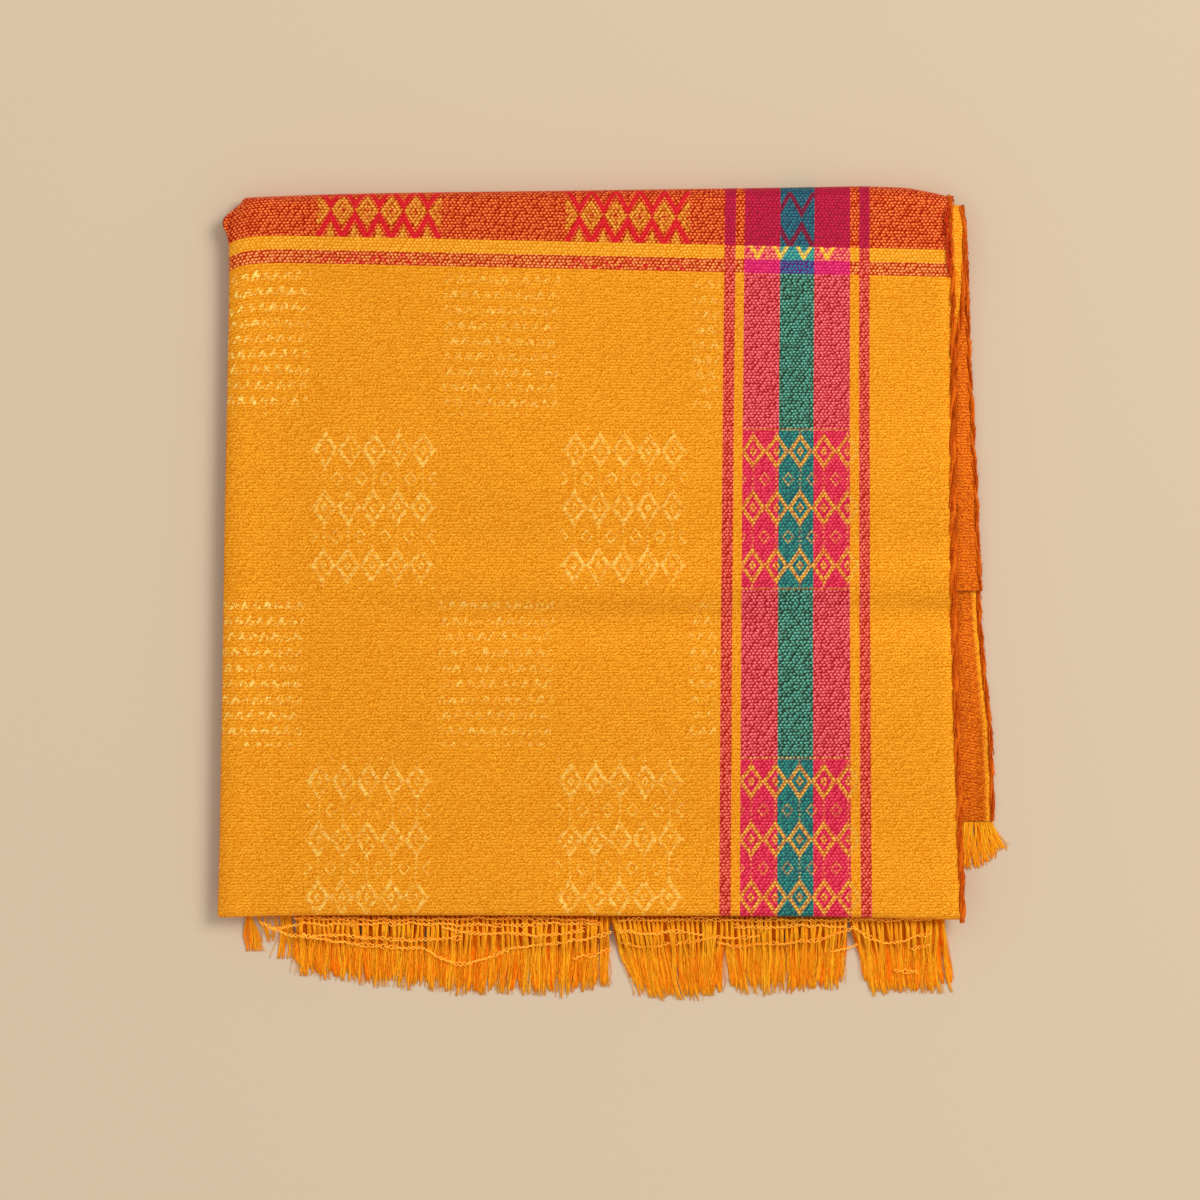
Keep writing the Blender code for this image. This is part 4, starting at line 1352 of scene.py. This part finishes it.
CAMERA_AT = (-5.2, -3.3)  # the photo looks straight down on this point
CAMERA_HEIGHT = 2200.0
VIEW_WIDTH = 565.2  # what the picture spans at the packet's top
SENSOR = 36.0
FLOOR = rgb(222, 198, 169)
FLOOR_HALF = 3.0  # in metres
WORLD_STRENGTH = 0.6
WINDOW_AT = (2.6, 1.6, 3.6)
WINDOW_SIZE = 2.4
WINDOW_POWER = 116.0


def build_floor():
    """A plain pale table under everything."""
    shader = Shader("floor", {"Roughness": 0.75, "Specular IOR Level": 0.2})
    shader.surface.inputs["Base Color"].default_value = FLOOR
    mesh = bpy.data.meshes.new("floor")
    half = FLOOR_HALF
    corners = [(-half, -half, 0), (half, -half, 0), (half, half, 0), (-half, half, 0)]
    mesh.from_pydata(corners, [], [(0, 1, 2, 3)])
    mesh.materials.append(shader.material)
    floor = bpy.data.objects.new("floor", mesh)
    bpy.context.scene.collection.objects.link(floor)
    floor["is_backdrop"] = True


def area_light(name, at, size, power):
    """A soft light at a place in metres, turned to the packet."""
    lamp = bpy.data.lights.new(name, "AREA")
    lamp.shape = "DISK"
    lamp.size = size
    lamp.energy = power
    light = bpy.data.objects.new(name, lamp)
    light.location = at
    light.rotation_euler = (-Vector(at)).to_track_quat("-Z", "Y").to_euler()
    bpy.context.scene.collection.objects.link(light)


def build_room():
    scene = bpy.context.scene
    scene.view_settings.view_transform = "Standard"
    world = bpy.data.worlds.new("room")
    world.use_nodes = True
    world.node_tree.nodes["Background"].inputs["Color"].default_value = (1.0, 1.0, 1.0, 1.0)
    world.node_tree.nodes["Background"].inputs["Strength"].default_value = WORLD_STRENGTH
    scene.world = world
    area_light("window", WINDOW_AT, WINDOW_SIZE, WINDOW_POWER)
    lens = bpy.data.cameras.new("camera")
    lens.sensor_width = SENSOR
    lens.lens = SENSOR * (CAMERA_HEIGHT - TOP_Z) / VIEW_WIDTH
    camera = bpy.data.objects.new("camera", lens)
    camera.location = (CAMERA_AT[0] * MM, CAMERA_AT[1] * MM, CAMERA_HEIGHT * MM)
    scene.collection.objects.link(camera)
    scene.camera = camera


# ---- the whole stole ----


def build_stole():
    cloth = cloth_material("jacquard")
    inside = cloth_material("jacquard_inside")
    # The under-panels' cloth has a darker ground and strong warp streaks: painted shade from the layers above
    # and in their lengthwise creases.
    painted_shade_cloth = cloth_material("jacquard_painted_shade", PAINTED_SHADE_GOLD, warp_streaks_and_crease_shade=0.45)
    rimmed = cloth_material("jacquard_end_painted_shade", PAINTED_SHADE_GOLD, warp_streaks_and_crease_shade=0.6, rim=3.4)
    rust = yarn_material("selvedge_yarn", rgb(150, 10, 0), rgb(255, 124, 22), 9.0)
    threads = yarn_material("golden_thread", rgb(248, 106, 0), rgb(255, 186, 34), 2.0, painted_brightness=1.0)
    wefts = yarn_material("loose_weft", rgb(255, 128, 0), rgb(255, 188, 64), 2.0, painted_brightness=1.3)
    ribbon, top = top_cloth(cloth)
    end, hidden = end_cloth(cloth), hidden_cloth(inside)
    half, inner = half_cloth(painted_shade_cloth), inner_end_cloth(rimmed)
    nose = ribbon.marks["top"] - CORD_OVER
    foot = ribbon.marks["bottom fold"] + CORD_UNDER
    top_tail = [(0.4, -2.2, -0.3)]  # the yarn's end stands out a little under the bottom fold
    cords = [selvedge("cord_top", top, TOP_CORD, rust, ["selvedge_top"], nose, foot, top_tail)]
    for name, panel, places in (
        ("cord_end", end, ["end"]),
        ("cord_hidden", hidden, ["hidden_upper", "hidden_middle", "hidden_lower"]),
        ("cord_inner_half", half, ["inner_half"]),
        ("cord_inner_end", inner, ["inner_end"]),
    ):
        cords.append(selvedge(name, panel, HIDDEN_CORD, rust, ["selvedge_" + place for place in places]))
    fringes, tucked = build_fringes(threads, wefts)
    frayed = frayed_threads(top, yarn_material("pallu_thread", rgb(170, 10, 0), rgb(250, 84, 40), 2.0))


build_stole()
build_floor()
build_room()

box_of = lambda bounds: [[float(value) for value in corner] for corner in bounds]
{"cad": box_of(cad_bounds), "visual": box_of(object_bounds())}
